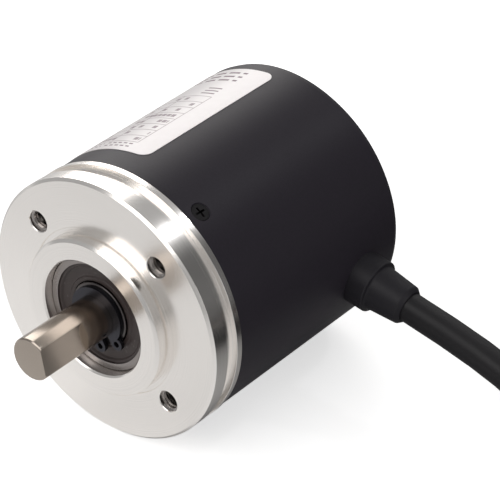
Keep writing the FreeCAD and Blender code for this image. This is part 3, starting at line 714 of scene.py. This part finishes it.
def make_thread():
    """A spiral ridge that starts at the face and runs down into the hole."""
    tree, given, out = new_group(
        "thread_crest", "GeometryNodeTree",
        [("Geometry", "NodeSocketGeometry", None), ("Radius", FLOAT, 0.002),
         ("Turns", FLOAT, 9.0), ("Pitch", FLOAT, 0.0007), ("Crest", FLOAT, 0.0003),
         ("Material", "NodeSocketMaterial", None)],
        [("Geometry", "NodeSocketGeometry")])
    height = sum_of(tree, "MULTIPLY", given["Turns"], given["Pitch"])
    spiral = add(tree, "GeometryNodeCurveSpiral",
                 {"Resolution": 28, "Rotations": given["Turns"], "Height": height,
                  "Start Radius": given["Radius"], "End Radius": given["Radius"]})
    section = add(tree, "GeometryNodeCurvePrimitiveCircle",
                  {"Resolution": 3, "Radius": given["Crest"]})
    ridge = add(tree, "GeometryNodeCurveToMesh", {"Curve": spiral.outputs[0],
                                                  "Profile Curve": section.outputs[0],
                                                  "Fill Caps": True})
    lay = add(tree, "GeometryNodeTransform", {"Geometry": ridge.outputs[0],
                                              "Rotation": (-math.pi / 2, 0, 0)})
    painted = add(tree, "GeometryNodeSetMaterial", {"Geometry": lay.outputs[0],
                                                    "Material": given["Material"]})
    tree.links.new(painted.outputs[0], out[0])
    return tree


thread = link("thread_crests", bpy.data.meshes.new("thread_crests"))
spiral = thread.modifiers.new("thread", "NODES")
spiral.node_group = make_thread()
# The crests' darker aluminium is painted shade of the hole, not a different metal.
set_inputs(spiral, {"Radius": bolt_r + 0.02 * mm, "Turns": thread_turns, "Pitch": thread_pitch,
                    "Crest": thread_depth, "Material": finishes["turned_aluminium_thread"]})
settle(thread)
repeat(thread, bolt_count, bolt_circle_r, thread_start, bolt_angle, "turned_aluminium_thread")
face_outwards(thread)
dress(thread, "housing", "turned_aluminium_thread")

# %% [markdown]
# ## Cover
# A drawn cup with a rounded rear edge, powder coated inside and out. It too is spun
# from an outline. Three sunk wells for its screws and the hole for the cable's boot
# are cut out of its side.

# %% Cover
cover_wall = 1.6 * mm
end_wall = 1.8 * mm
end_round = 2.2 * mm
cover_in_r = cover_r - cover_wall
inner_round = 0.8 * mm
screw_y = middle_y("cover_screws")
screw_angle = 33.0
screw_count = 3
screw_head_r = 1.7 * mm
screw_r = 1.0 * mm
screw_len = 3.6 * mm
head_t = 0.9 * mm
well_depth = 0.15 * mm
boot_angle = 99.57
boot_axis = Vector((math.sin(math.radians(boot_angle)), 0, math.cos(math.radians(boot_angle))))
boot_y = middle_y("strain_relief")
boot_neck_r = 4.0 * mm
cover = turned("cover_shell", [
    (cover_in_r, flange_t), (cover_r, flange_t, 0.25 * mm), (cover_r, cover_end, end_round),
    (0, cover_end), (0, cover_end - end_wall), (cover_in_r, cover_end - end_wall, inner_round)],
    0.1 * mm, 192)


def radial_tool(name, corners, steps=48, rounding=0):
    """Turned tool whose axis is then stood up along +Z, its y becoming the height."""
    tool = turned(name, corners, rounding, steps)
    tool.data.transform(Matrix.Rotation(math.radians(90), 4, "X"))
    return tool


well_floor = cover_r - well_depth
well_hole_r = screw_r + 0.05 * mm
well_r = screw_head_r + 0.08 * mm
through = 6 * mm
screw_well = radial_tool("screw_well", [
    (0, -through), (well_hole_r, -through), (well_hole_r, -head_t), (well_r, 0),
    (well_r, 0.12 * mm), (screw_head_r + 0.3 * mm, spare), (0, spare)])
repeat(screw_well, screw_count, well_floor, screw_y, screw_angle, "black_cover")
boot_hole = radial_tool("boot_hole", [(0, -through), (boot_neck_r, -through),
                                      (boot_neck_r, 2 * spare), (0, 2 * spare)])
boot_hole.data.transform(Matrix.Rotation(math.radians(boot_angle), 4, "Y")
                         @ Matrix.Translation((0, 0, cover_r)))
boot_hole.data.transform(Matrix.Translation((0, boot_y, 0)))
carve(cover, [screw_well, boot_hole])
dress(cover, "housing", "black_cover", ["cover"], 34)

# %% [markdown]
# ## Cover screws
# Three small countersunk screws with a cross recess. One is turned and its recess
# cut, and then the ring of copies puts all three in their wells.

# %% Cover screws
slot_half, slot_w, slot_depth = 1.0 * mm, 0.2 * mm, 0.7 * mm
sunk = 0.04 * mm
screw = radial_tool("cover_screw_set", [
    (0, -screw_len), (screw_r - 0.1 * mm, -screw_len), (screw_r, -3.4 * mm), (screw_r, -head_t),
    (screw_head_r - 0.05 * mm, -0.12 * mm), (screw_head_r - 0.1 * mm, 0), (0, 0.03 * mm)])
recess = [box_cutter((-x, -y, -slot_depth), (x, y, spare))
          for x, y in ((slot_half, slot_w), (slot_w, slot_half))]
carve(screw, recess)
repeat(screw, screw_count, well_floor - sunk, screw_y, screw_angle, "black_screw")
dress(screw, "housing", "black_screw", ["cover_screws"])

# %% [markdown]
# ## Shaft
# Ground steel with a flat cut for the set screw of a coupling. The flat ends in a
# square step, and a narrow groove in front of the bearing holds a retaining ring.

# %% Shaft
shaft_low, shaft_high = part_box("shaft")
ring_low, ring_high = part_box("front_circlip")
rear_ring_low, rear_ring_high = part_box("rear_circlip")
flat_len = 10.0 * mm
flat_depth = 1.0 * mm
flat_angle = 79.5
groove_r = shaft_r - 0.2 * mm
groove_edge = 0.03 * mm
tip_chamfer = 0.25 * mm
tip_edge = 0.1 * mm


def shaft_groove(start, end):
    """Corners of a narrow square groove from one length to another."""
    return [(r, y, groove_edge) for r, y in
            ((shaft_r, start), (groove_r, start), (groove_r, end), (shaft_r, end))]


shaft = turned("drive_shaft", [
    (0, shaft_low.y), (shaft_r - tip_chamfer, shaft_low.y, tip_edge),
    (shaft_r, shaft_low.y + tip_chamfer, tip_edge)]
    + shaft_groove(ring_low.y, ring_high.y) + shaft_groove(rear_ring_low.y, rear_ring_high.y) + [
    (shaft_r, shaft_high.y - tip_chamfer), (shaft_r - tip_chamfer, shaft_high.y),
    (0, shaft_high.y)], 0.05 * mm, 160)
flat = box_cutter((-1.5 * shaft_r, shaft_low.y - spare, shaft_r - flat_depth),
                  (1.5 * shaft_r, shaft_low.y + flat_len, shaft_r + spare), flat_angle)
carve(shaft, [flat])
dress(shaft, "rotor", "ground_shaft", ["shaft"], 28)

# %% [markdown]
# ## Front bearing
# Three parts of the front bearing can be seen: the faces of its two steel rings, the
# inner one painted darker as painted shade by the shaft, and between them the black rubber seal with
# its raised outer bead.
# They are spun again with finer edges than the design needs.

# %% Front bearing
mouth_r = bearing_r - 1.4 * mm
seal_seat_r = bearing_r - 1.1 * mm
inner_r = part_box("front_bearing_inner_ring")[1].x
ring_edge = 0.25 * mm
outer_edge = 0.3 * mm
seal_t = 0.7 * mm
seal_back = 0.3 * mm
seal_room = 1.0 * mm
seal_face = bearing_low.y + seal_back
bead_w = 0.8 * mm
lip_w = 0.7 * mm
lip_in = 0.1 * mm
ball_centre = middle_y("front_bearing_outer_ring")
pitch_r = (shaft_r + bearing_r) / 2
race_r = 2.03 * mm


def race(radius, side):
    """Corners of a raceway's hollow, seen as a shallow arc in the outline."""
    reach = math.acos(min(1.0, abs(radius - pitch_r) / race_r))
    return [(pitch_r + side * race_r * math.cos(a), ball_centre + race_r * math.sin(a), 0)
            for a in [reach * (1 - 2 * k / 8) for k in range(9)]]


outer_ring = turned("front_outer_race", [
    (mouth_r, bearing_low.y), (bearing_r, bearing_low.y, outer_edge),
    (bearing_r, bearing_high.y, outer_edge), (mouth_r, bearing_high.y),
    (mouth_r, bearing_high.y - seal_back), (seal_seat_r, bearing_high.y - seal_back),
    (seal_seat_r, bearing_high.y - seal_room), (land_r, bearing_high.y - seal_room)]
    + race(land_r, 1) + [
    (land_r, bearing_low.y + seal_room), (seal_seat_r, bearing_low.y + seal_room),
    (seal_seat_r, seal_face), (mouth_r, seal_face)], 0.05 * mm)
dress(outer_ring, "housing", "bearing_steel", ["front_bearing_outer_ring"])
inner_ring = turned("front_inner_race", [
    (shaft_r, bearing_low.y, ring_edge), (inner_r, bearing_low.y, ring_edge)]
    + [(r, 2 * ball_centre - y, edge) for r, y, edge in race(inner_r, -1)] + [
    (inner_r, bearing_high.y, ring_edge), (shaft_r, bearing_high.y, ring_edge)], 0.05 * mm)
# The inner ring's darker steel is painted shade.
dress(inner_ring, "rotor", "bearing_steel_inner", ["front_bearing_inner_ring"])
lip_r = inner_r + 0.12 * mm
seal = turned("front_seal", [
    (seal_seat_r, seal_face), (seal_seat_r, seal_face + seal_t),
    (lip_r + lip_w, seal_face + seal_t), (lip_r, seal_face + 0.5 * mm),
    (lip_r, seal_face + lip_in), (lip_r + lip_w, seal_face + lip_in),
    (lip_r + 0.9 * mm, seal_face + 0.3 * mm), (seal_seat_r - 1.1 * mm, seal_face + 0.3 * mm),
    (seal_seat_r - bead_w, seal_face)], 0.1 * mm)
dress(seal, "housing", "bearing_seal_rubber", ["front_bearing_near_seal"])

# %% [markdown]
# ## Retaining ring
# A spring ring with two pierced lugs for the pliers. It is stamped from strip, so its
# outline is drawn flat as one loop of arcs, filled, given its thickness and bevelled.

# %% Retaining ring
band_r = shaft_r + 1.55 * mm
ring_gap = 1.9 * mm
ring_angle = 152.0
lug_r = 1.2 * mm
lug_hole_r = 0.55 * mm
lug_side = 2.15 * mm
lug_out = shaft_r + 1.6 * mm


def ring_outline():
    """The open ring with its two lugs, as one loop of (across, up) points."""
    gap_side = ring_gap / 2
    outer_from = math.asin((lug_side + 0.75 * lug_r) / band_r)
    outer = [(band_r * math.sin(a), band_r * math.cos(a)) for a in
             [outer_from + (2 * math.pi - 2 * outer_from) * k / 72 for k in range(73)]]
    inner_from = math.asin(gap_side / groove_r)
    inner = [(groove_r * math.sin(a), groove_r * math.cos(a)) for a in
             [-inner_from - (2 * math.pi - 2 * inner_from) * k / 60 for k in range(61)]]
    left = [(-lug_side + lug_r * math.cos(a), lug_out + lug_r * math.sin(a)) for a in
            [math.radians(235 - 235 * k / 14) for k in range(15)]]
    right = [(-x, y) for x, y in reversed(left)]
    return outer + left + [(-gap_side, groove_r + 0.3 * mm)] + inner + [
        (gap_side, groove_r + 0.3 * mm)] + right


def plate(name, outline, y0, y1, angle):
    """Flat plate of a given outline, standing across the shaft's axis."""
    shape = bmesh.new()
    loop = [shape.verts.new((x, y0, z)) for x, z in outline]
    face = shape.faces.new(loop)
    raised = bmesh.ops.extrude_face_region(shape, geom=[face])
    moved = [g for g in raised["geom"] if isinstance(g, bmesh.types.BMVert)]
    bmesh.ops.translate(shape, verts=moved, vec=(0, y1 - y0, 0))
    bmesh.ops.recalc_face_normals(shape, faces=shape.faces)
    piece = as_piece(name, shape)
    piece.data.transform(Matrix.Rotation(math.radians(angle), 4, "Y"))
    return piece


def lug_hole(side):
    """Round cutter for the hole in the left (-1) or right (1) lug."""
    below, above = ring_low.y - spare, ring_high.y + spare
    tool = turned("lug_hole", [(0, below), (lug_hole_r, below), (lug_hole_r, above), (0, above)],
                  0, 24)
    tool.data.transform(Matrix.Rotation(math.radians(ring_angle), 4, "Y")
                        @ Matrix.Translation((side * lug_side, 0, lug_out)))
    return tool


front_ring = plate("front_retaining_ring", ring_outline(), ring_low.y, ring_high.y, ring_angle)
carve(front_ring, [lug_hole(-1), lug_hole(1)])
soften = front_ring.modifiers.new("stamped edges", "BEVEL")
soften.width = 0.09 * mm
soften.segments = 2
soften.limit_method = "ANGLE"
settle(front_ring)
dress(front_ring, "rotor", "spring_steel", ["front_circlip"])

# %% [markdown]
# ## Strain relief
# A moulded rubber boot with a broad collar against the cover, a neck through its wall
# and a flange inside that keeps it from being pulled out. The collar's foot is
# hollowed to the round of the cover, which a cut with the cover's own tube gives.

# %% Strain relief
cable_r = 2.8 * mm
collar_r = 5.0 * mm
root_r = 4.25 * mm
tip_r = 3.7 * mm
collar_end = cover_r + 3.75 * mm
taper_end = collar_end + 6.2 * mm
boot_end = taper_end + 0.8 * mm
inner_end = cover_in_r - 1.9 * mm
boot_turn = Matrix.Rotation(math.radians(boot_angle), 4, "Y")


def along_boot(tool):
    """Lays a tool made along +Z at the origin onto the cable's exit axis."""
    tool.data.transform(Matrix.Translation((0, boot_y, 0)) @ boot_turn)
    return tool


boot = along_boot(radial_tool("cable_boot", [
    (cable_r, inner_end), (collar_r, inner_end), (collar_r, collar_end, 0.5 * mm),
    (root_r, collar_end, 0.8 * mm), (tip_r, taper_end, 0.5 * mm),
    (cable_r + 0.25 * mm, boot_end, 0.15 * mm), (cable_r, boot_end)], 96, 0.15 * mm))
wall_from, wall_to = 25 * mm, 60 * mm
neck_from, neck_to = 15 * mm, 30 * mm
wall = turned("wall", [(cover_in_r, wall_from), (cover_r, wall_from), (cover_r, wall_to),
                       (cover_in_r, wall_to)], 0, 192)
neck = along_boot(radial_tool("neck", [(0, neck_from), (boot_neck_r, neck_from),
                                       (boot_neck_r, neck_to), (0, neck_to)]))
carve(wall, [neck])
carve(boot, [wall])
dress(boot, "housing", "boot_rubber", ["strain_relief"], 30)

# %% [markdown]
# ## Printed label
# A foil label is wrapped round the cover. It is a thin sheet whose corners are cut
# round, so each column of its grid is a little shorter near the ends. Its print is
# drawn by the material: the place on the sheet is worked out from the point's angle
# about the shaft and its length along it, and boxes and lines follow from that.

# %% Label sheet
label_low, label_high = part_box("label")
label_t = 0.1 * mm
label_edge = -1.2  # angle of its right-hand edge
label_width = 40.0 * mm
label_corner = 2.0 * mm
label_columns = 96
label_rows = 24
tuck = 0.02 * mm  # how far its underside lies in the paint


def label_sheet():
    """The sheet: a grid of closed loops, one round the section at each angle."""
    shape = bmesh.new()
    rows = label_rows
    loops = []
    for k in range(label_columns + 1):
        along = (1 - math.cos(math.pi * k / label_columns)) / 2 * label_width
        near = min(along, label_width - along)
        cut = 0.0
        if near < label_corner:
            cut = label_corner - math.sqrt(label_corner ** 2 - (label_corner - near) ** 2)
        a = math.radians(label_edge) - along / cover_r
        low, high = label_low.y + cut, label_high.y - cut
        heights = [low + (high - low) * j / rows for j in range(rows + 1)]
        top, under = cover_r + label_t * 0.98, cover_r - tuck
        loop = [(top * math.sin(a), y, top * math.cos(a)) for y in heights]
        loop += [(under * math.sin(a), y, under * math.cos(a)) for y in reversed(heights)]
        loops.append([shape.verts.new(point) for point in loop])
    for one, two in zip(loops, loops[1:]):
        for j in range(len(one)):
            after = (j + 1) % len(one)
            shape.faces.new((one[j], two[j], two[after], one[after]))
    for end in (loops[0], loops[-1]):
        for j in range(rows):
            shape.faces.new((end[j], end[j + 1], end[-2 - j], end[-1 - j]))
    bmesh.ops.recalc_face_normals(shape, faces=shape.faces)
    return as_piece("printed_label", shape)


# %% Node group: printed bar
def make_printed_bar():
    """Mask of a filled rectangle on the sheet; places and sizes are in millimetres."""
    tree, given, out = new_group(
        "printed_bar", "ShaderNodeTree",
        [("Across", FLOAT, 0.0), ("Along", FLOAT, 0.0), ("Left", FLOAT, 0.0),
         ("Right", FLOAT, 1.0), ("Low", FLOAT, 0.0), ("High", FLOAT, 1.0)],
        [("Mask", FLOAT)])
    mask = 1.0
    soft_edge = 0.04
    for place, low, high in (("Across", "Left", "Right"), ("Along", "Low", "High")):
        middle = sum_of(tree, "MULTIPLY", sum_of(tree, "ADD", given[low],
                                                 given[high]), 0.5)
        half = sum_of(tree, "SUBTRACT", given[high], middle)
        off = sum_of(tree, "ABSOLUTE", sum_of(tree, "SUBTRACT", given[place], middle))
        inside = ramp(tree, sum_of(tree, "SUBTRACT", half, off), 0.0, 1.0, -soft_edge, soft_edge)
        mask = sum_of(tree, "MULTIPLY", inside, mask)
    tree.links.new(mask, out["Mask"])
    return tree


printed_bar = make_printed_bar()


# %% Label finish
def label_finish():
    made, tree, shader = new_material("silver_label")
    place = add(tree, "ShaderNodeTexCoord").outputs["Object"]
    parts = add(tree, "ShaderNodeSeparateXYZ", {0: place}).outputs
    angle = sum_of(tree, "ARCTAN2", parts["X"], parts["Z"])
    turn = sum_of(tree, "SUBTRACT", math.radians(label_edge), angle)
    across = sum_of(tree, "MULTIPLY", turn, cover_r / mm)
    along = sum_of(tree, "MULTIPLY", sum_of(tree, "SUBTRACT", parts["Y"], label_low.y), 1 / mm)

    def bar(left, right, low, high):
        return add(tree, "ShaderNodeGroup", {"Across": across, "Along": along, "Left": left,
                                             "Right": right, "Low": low, "High": high},
                   node_tree=printed_bar).outputs[0]

    def together(masks):
        whole = masks[0]
        for mask in masks[1:]:
            whole = sum_of(tree, "MAXIMUM", whole, mask)
        return whole

    table_right, table_left = 4.7, 32.0
    table_low, table_high = 3.4, 23.0
    row_count = 8
    row_h = (table_high - table_low) / row_count
    line_w = 0.16
    frame_lines = [bar(table_right, table_left, table_low + row_h * k - line_w / 2,
                       table_low + row_h * k + line_w / 2) for k in range(row_count + 1)]
    frame_lines += [bar(x - line_w / 2, x + line_w / 2, table_low, table_high)
                    for x in (table_right, 11.2, 18.5, table_left)]

    def broken(mask, pitch, share):
        """The same bar with even gaps, so that it reads as a row of small blocks."""
        place_in_pitch = sum_of(tree, "FRACT", sum_of(tree, "DIVIDE", across, pitch))
        return sum_of(tree, "MULTIPLY", mask, sum_of(tree, "LESS_THAN", place_in_pitch, share))

    words = [broken(bar(left, right, low, high), 1.3, 0.62)
             for left, right in ((4.9, 11.2), (12.2, 19.0), (20.0, 26.0))
             for low, high in ((1.4, 1.75), (2.45, 2.8))]
    words += [bar(5.2, 8.4, y, y + 0.35) for y in (24.1, 25.2, 26.3)]
    title = [broken(bar(5.0, 29.0, y, y + 0.55), 3.4, 0.76) for y in (29.9, 31.5, 33.1)]
    # Entries of the table: short bars of uneven length, one in each row of each column.
    row = sum_of(tree, "DIVIDE", sum_of(tree, "SUBTRACT", along, table_low), row_h)
    row_place = sum_of(tree, "FRACT", row)
    in_row = sum_of(tree, "LESS_THAN", sum_of(tree, "ABSOLUTE", sum_of(
        tree, "SUBTRACT", row_place, 0.5)), 0.2)
    cell = add(tree, "ShaderNodeCombineXYZ", {
        "X": sum_of(tree, "FLOOR", sum_of(tree, "MULTIPLY", across, 0.9)),
        "Y": sum_of(tree, "FLOOR", row)})
    chance = add(tree, "ShaderNodeTexWhiteNoise", {"Vector": cell.outputs[0]},
                 noise_dimensions="2D").outputs[0]
    gap = sum_of(tree, "GREATER_THAN", sum_of(tree, "FRACT", sum_of(
        tree, "MULTIPLY", across, 0.9)), 0.18)
    entry = sum_of(tree, "MULTIPLY", in_row, sum_of(tree, "GREATER_THAN", chance, 0.55))
    entry = sum_of(tree, "MULTIPLY", entry, gap)
    entry = sum_of(tree, "MULTIPLY", entry, bar(table_right + 0.6, table_left - 0.6,
                                                table_low, table_high))
    thin = together(frame_lines + [entry])
    bold = together(words + title)
    ink = sum_of(tree, "MAXIMUM", sum_of(tree, "MULTIPLY", thin, 0.75), bold)
    foil = noise(tree, place, 700.0)
    silver = colour_mix(tree, foil, (0.76, 0.73, 0.735, 1), (0.81, 0.78, 0.785, 1))
    bump = add(tree, "ShaderNodeBump", {"Height": foil, "Distance": 0.000003})
    join(tree, shader, {"Base Color": colour_mix(tree, ink, silver, (0.19, 0.12, 0.15, 1)),
                        "Roughness": ramp(tree, ink, 0.34, 0.5),
                        "Metallic": ramp(tree, ink, 0.15, 0.02), "Normal": bump.outputs[0]})
    finishes["silver_label"] = made


label_finish()
label = label_sheet()
dress(label, "housing", "silver_label", ["label"], 50)

# %% [markdown]
# ## Cable
# Two metres of round cable: out of the boot, down to the table, and the rest wound
# up for storage. It is one curve from end to end, so that its length is one fact. The
# first points are given one by one, the turns of the coil by a loop, and a NURBS curve runs
# smoothly between them. Such a curve runs a little inside its points, so the points of
# the coil stand further out than the turn that they make.

# %% Coil layout
cable_d = 2 * cable_r
coil_centre = Vector((80.6, 78.7, 0)) * mm
coil_mid_r = 5.5 * cable_d
tie_t = 0.6 * mm
coil_base = floor_z + tie_t + cable_r
layer_h = cable_d * math.sqrt(0.75)
entry_angle = -20.0  # where on the coil the first turn starts
end_angle = -130.0  # where on the coil the sheath ends
coil_rows = [[1.0, 0.0, -1.0], [-0.5, 0.5], [1.0, 0.0, -1.0], [-0.5, 0.5]]
coil_turns = [(coil_mid_r + cable_d * place, coil_base + layer * layer_h, layer)
              for layer, row in enumerate(coil_rows) for place in row]
cross_from = 0.85  # share of a turn after which the cable moves over to its next place
cross_hump = 0.14 * cable_d
points_per_turn = 20


def smooth(t):
    """Rises from 0 to 1 with a soft start and a soft end."""
    t = min(1.0, max(0.0, t))
    return t * t * (3 - 2 * t)


def coil_place(turned_by):
    """Radius and height of the cable's axis after so many turns of the coil."""
    k = min(int(turned_by), len(coil_turns) - 1)
    ahead = coil_turns[min(k + 1, len(coil_turns) - 1)]
    here = coil_turns[k]
    phase = (turned_by - k - cross_from) / (1 - cross_from)
    share = smooth(phase)
    hump = cross_hump * max(here[2], ahead[2]) * math.sin(math.pi * min(1, max(0, phase)))
    return (here[0] + share * (ahead[0] - here[0]),
            here[1] + share * (ahead[1] - here[1]) + hump)


def on_coil(radius, degrees, height):
    """A point at a radius, angle and height about the coil's own upright axis."""
    a = math.radians(degrees)
    return coil_centre + Vector((radius * math.cos(a), radius * math.sin(a), height))


# %% Cable route and curve
def round_line(name, kind, points, radius, fineness):
    """A round curve of one open spline, and that spline."""
    curve = bpy.data.curves.new(name, "CURVE")
    curve.dimensions = "3D"
    spline = curve.splines.new(kind)
    spline.points.add(len(points) - 1)
    for point, place in zip(spline.points, points):
        point.co = (*place, 1.0)
    curve.bevel_depth = radius
    curve.bevel_resolution = fineness
    curve.use_fill_caps = True
    return link(name, curve), spline


entry_r = coil_turns[0][0]
entry = on_coil(entry_r, entry_angle, coil_base)
heading = Vector((-math.sin(math.radians(entry_angle)), math.cos(math.radians(entry_angle)), 0))
exit_point = boot_axis * boot_end + Vector((0, boot_y, 0))
route = [exit_point, exit_point + boot_axis * 18.4 * mm, Vector((68.0, 38.0, -13.0)) * mm,
         Vector((83.4, 35.4, -17.9)) * mm, Vector((98.6, 40.6, coil_base / mm)) * mm,
         entry - heading * 15.3 * mm, entry]
coil_span = (end_angle - entry_angle) % 360 + 360 * (len(coil_turns) - 1)
step = 360 / points_per_turn
reach_out = 1 / math.cos(math.radians(step / 2))
steps = int(coil_span / step)
for k in range(1, steps + 1):
    radius, height = coil_place(k * step / 360)
    route.append(on_coil(radius * reach_out, entry_angle + k * step, height))
last_r, last_z = coil_place(coil_span / 360)
cable_end = on_coil(last_r, end_angle, last_z)
route.append(cable_end)
cable, line = round_line("cable", "NURBS", route, cable_r, 6)
line.order_u = 3
line.use_endpoint_u = True
line.resolution_u = 4
dress(cable, "housing", "cable_sheath", ["cable_tube", "cable_coil"])
print("cable points:", len(route), " coil turns:", round(coil_span / 360, 2))

# %% [markdown]
# ## Tie, leads and stripped tips
# A hook-and-loop strap holds the coil. Beyond the end of the sheath five coloured
# leads are bare, and the last few millimetres of each are stripped to a twist of
# tinned strands.

# %% Tie
tie_angle = 135.0
tie_w = 10.0 * mm


def coil_section(grow):
    """Outline round the ten turns, grown by a thickness. The numbers are cable widths
    across and up: the sides stand 1.5 from the middle, and from 1.866 up they lean in
    at 60 degrees to the flat top at 3.098, over the row of two."""
    g = grow / cable_d
    right = [(1.5 + g, -0.5 - g), (1.5 + g, 1.866 + 0.268 * g), (0.789 + 0.577 * g, 3.098 + g)]
    left = [(-x, z) for x, z in reversed(right)]
    corners = [(coil_mid_r + cable_d * x, coil_base + cable_d * z) for x, z in right + left]
    return [(p.x, p.y) for p in rounded(corners, 2.4 * mm)]


def strap():
    """A closed loop of strap: rings of points in and out, joined along its width."""
    shape = bmesh.new()
    inner, outer = coil_section(0.02 * mm), coil_section(tie_t - 0.02 * mm)
    columns = 8
    half_span = math.degrees(tie_w / coil_mid_r) / 2
    loops = []
    for k in range(columns + 1):
        a = tie_angle - half_span + 2 * half_span * k / columns
        loops.append([[shape.verts.new(on_coil(r, a, z)) for r, z in side]
                      for side in (inner, outer)])
    count = len(inner)
    for one, two in zip(loops, loops[1:]):
        for side in (0, 1):
            for j in range(count):
                after = (j + 1) % count
                shape.faces.new((one[side][j], one[side][after], two[side][after],
                                 two[side][j]))
    for end in (loops[0], loops[-1]):
        for j in range(count):
            after = (j + 1) % count
            shape.faces.new((end[0][j], end[0][after], end[1][after], end[1][j]))
    bmesh.ops.recalc_face_normals(shape, faces=shape.faces)
    return as_piece("coil_strap", shape)


tie = dress(strap(), "housing", "tie_fabric", ["cable_tie"], 50)

# %% Leads and tips
lead_colours = [("brown", (0.10, 0.035, 0.012)), ("black", (0.012, 0.012, 0.013)),
                ("white", (0.75, 0.74, 0.72)), ("orange", (0.70, 0.18, 0.01)),
                ("blue", (0.01, 0.06, 0.35))]
lead_r = 0.6 * mm
lead_len = 30.0 * mm
lead_start = -1.0 * mm
lead_circle = 0.24 * cable_d
bare_len = 5.0 * mm
strand_r = 0.12 * mm


def lead_place(k, run):
    """A point on lead k, so many metres beyond the end of the sheath."""
    a = 2 * math.pi * k / len(lead_colours)
    radius = last_r + lead_circle * math.sin(a)
    return on_coil(radius, end_angle + math.degrees(run / radius),
                   last_z + lead_circle * math.cos(a))


def tube(name, points, radius, sides=12):
    """A round mesh along a list of points, closed at both ends."""
    made = round_line(name, "POLY", points, radius, sides // 4 - 1)[0]
    mesh = bpy.data.meshes.new_from_object(
        made.evaluated_get(bpy.context.evaluated_depsgraph_get()))
    bpy.data.objects.remove(made)
    return link(name, mesh)


for k, (colour, value) in enumerate(lead_colours):
    finish(f"lead_insulation_{colour}", fine_grain, 4000.0, 0.000004, 0.08, 0.38, colour=value)
    stretch = [lead_place(k, lead_start + (lead_len - bare_len - lead_start) * j / 24)
               for j in range(25)]
    lead = tube(f"lead_{colour}", stretch, lead_r)
    face_outwards(lead)
    dress(lead, "housing", f"lead_insulation_{colour}", ["cable_leads"])
print("leads:", len(lead_colours))

# %% Stripped tips
strand_turns = 1.5
strand_count = 7
strand_start = lead_len - bare_len - 0.5 * mm
strand_len = bare_len + 0.4 * mm


def strand_place(k, strand, run):
    """A point on a strand: one runs in the middle, and six wind around it."""
    middle = lead_place(k, run)
    if strand == 0:
        return middle
    ahead = (lead_place(k, run + 0.1 * mm) - middle).normalized()
    across = ahead.cross(Vector((0, 0, 1))).normalized()
    up = across.cross(ahead)
    a = 2 * math.pi * (strand / (strand_count - 1) + strand_turns * run / bare_len)
    return middle + 2 * strand_r * (math.cos(a) * across + math.sin(a) * up)


for k, (colour, value) in enumerate(lead_colours):
    tips = []
    for strand in range(strand_count):
        runs = [strand_start + strand_len * j / 16 for j in range(17)]
        tips.append(tube("strand", [strand_place(k, strand, run) for run in runs], strand_r, 8))
    shape = bmesh.new()
    for tip in tips:
        shape.from_mesh(tip.data)
        bpy.data.objects.remove(tip)
    twist = face_outwards(as_piece(f"stripped_tip_{colour}", shape))
    dress(twist, "housing", "tinned_copper", ["cable_lead_tips"])
print("strands in each tip:", strand_count)

# %% [markdown]
# ## Pieces kept from the design
# Everything inside the cover is already the right shape. Those nodes keep their
# meshes and only get their finish, chosen by the slot that the record gives them.

# %% Finishes of the kept nodes
slot_of = {part["node"]: part["material_slot"] for part in frame["record"]["subparts"]}
kept = 0
for name, piece in nodes.items():
    if piece.hide_render:
        continue
    for place in piece.material_slots:
        place.material = finishes[slot_of[name]]
    kept += 1
print("nodes kept with their mesh:", kept)
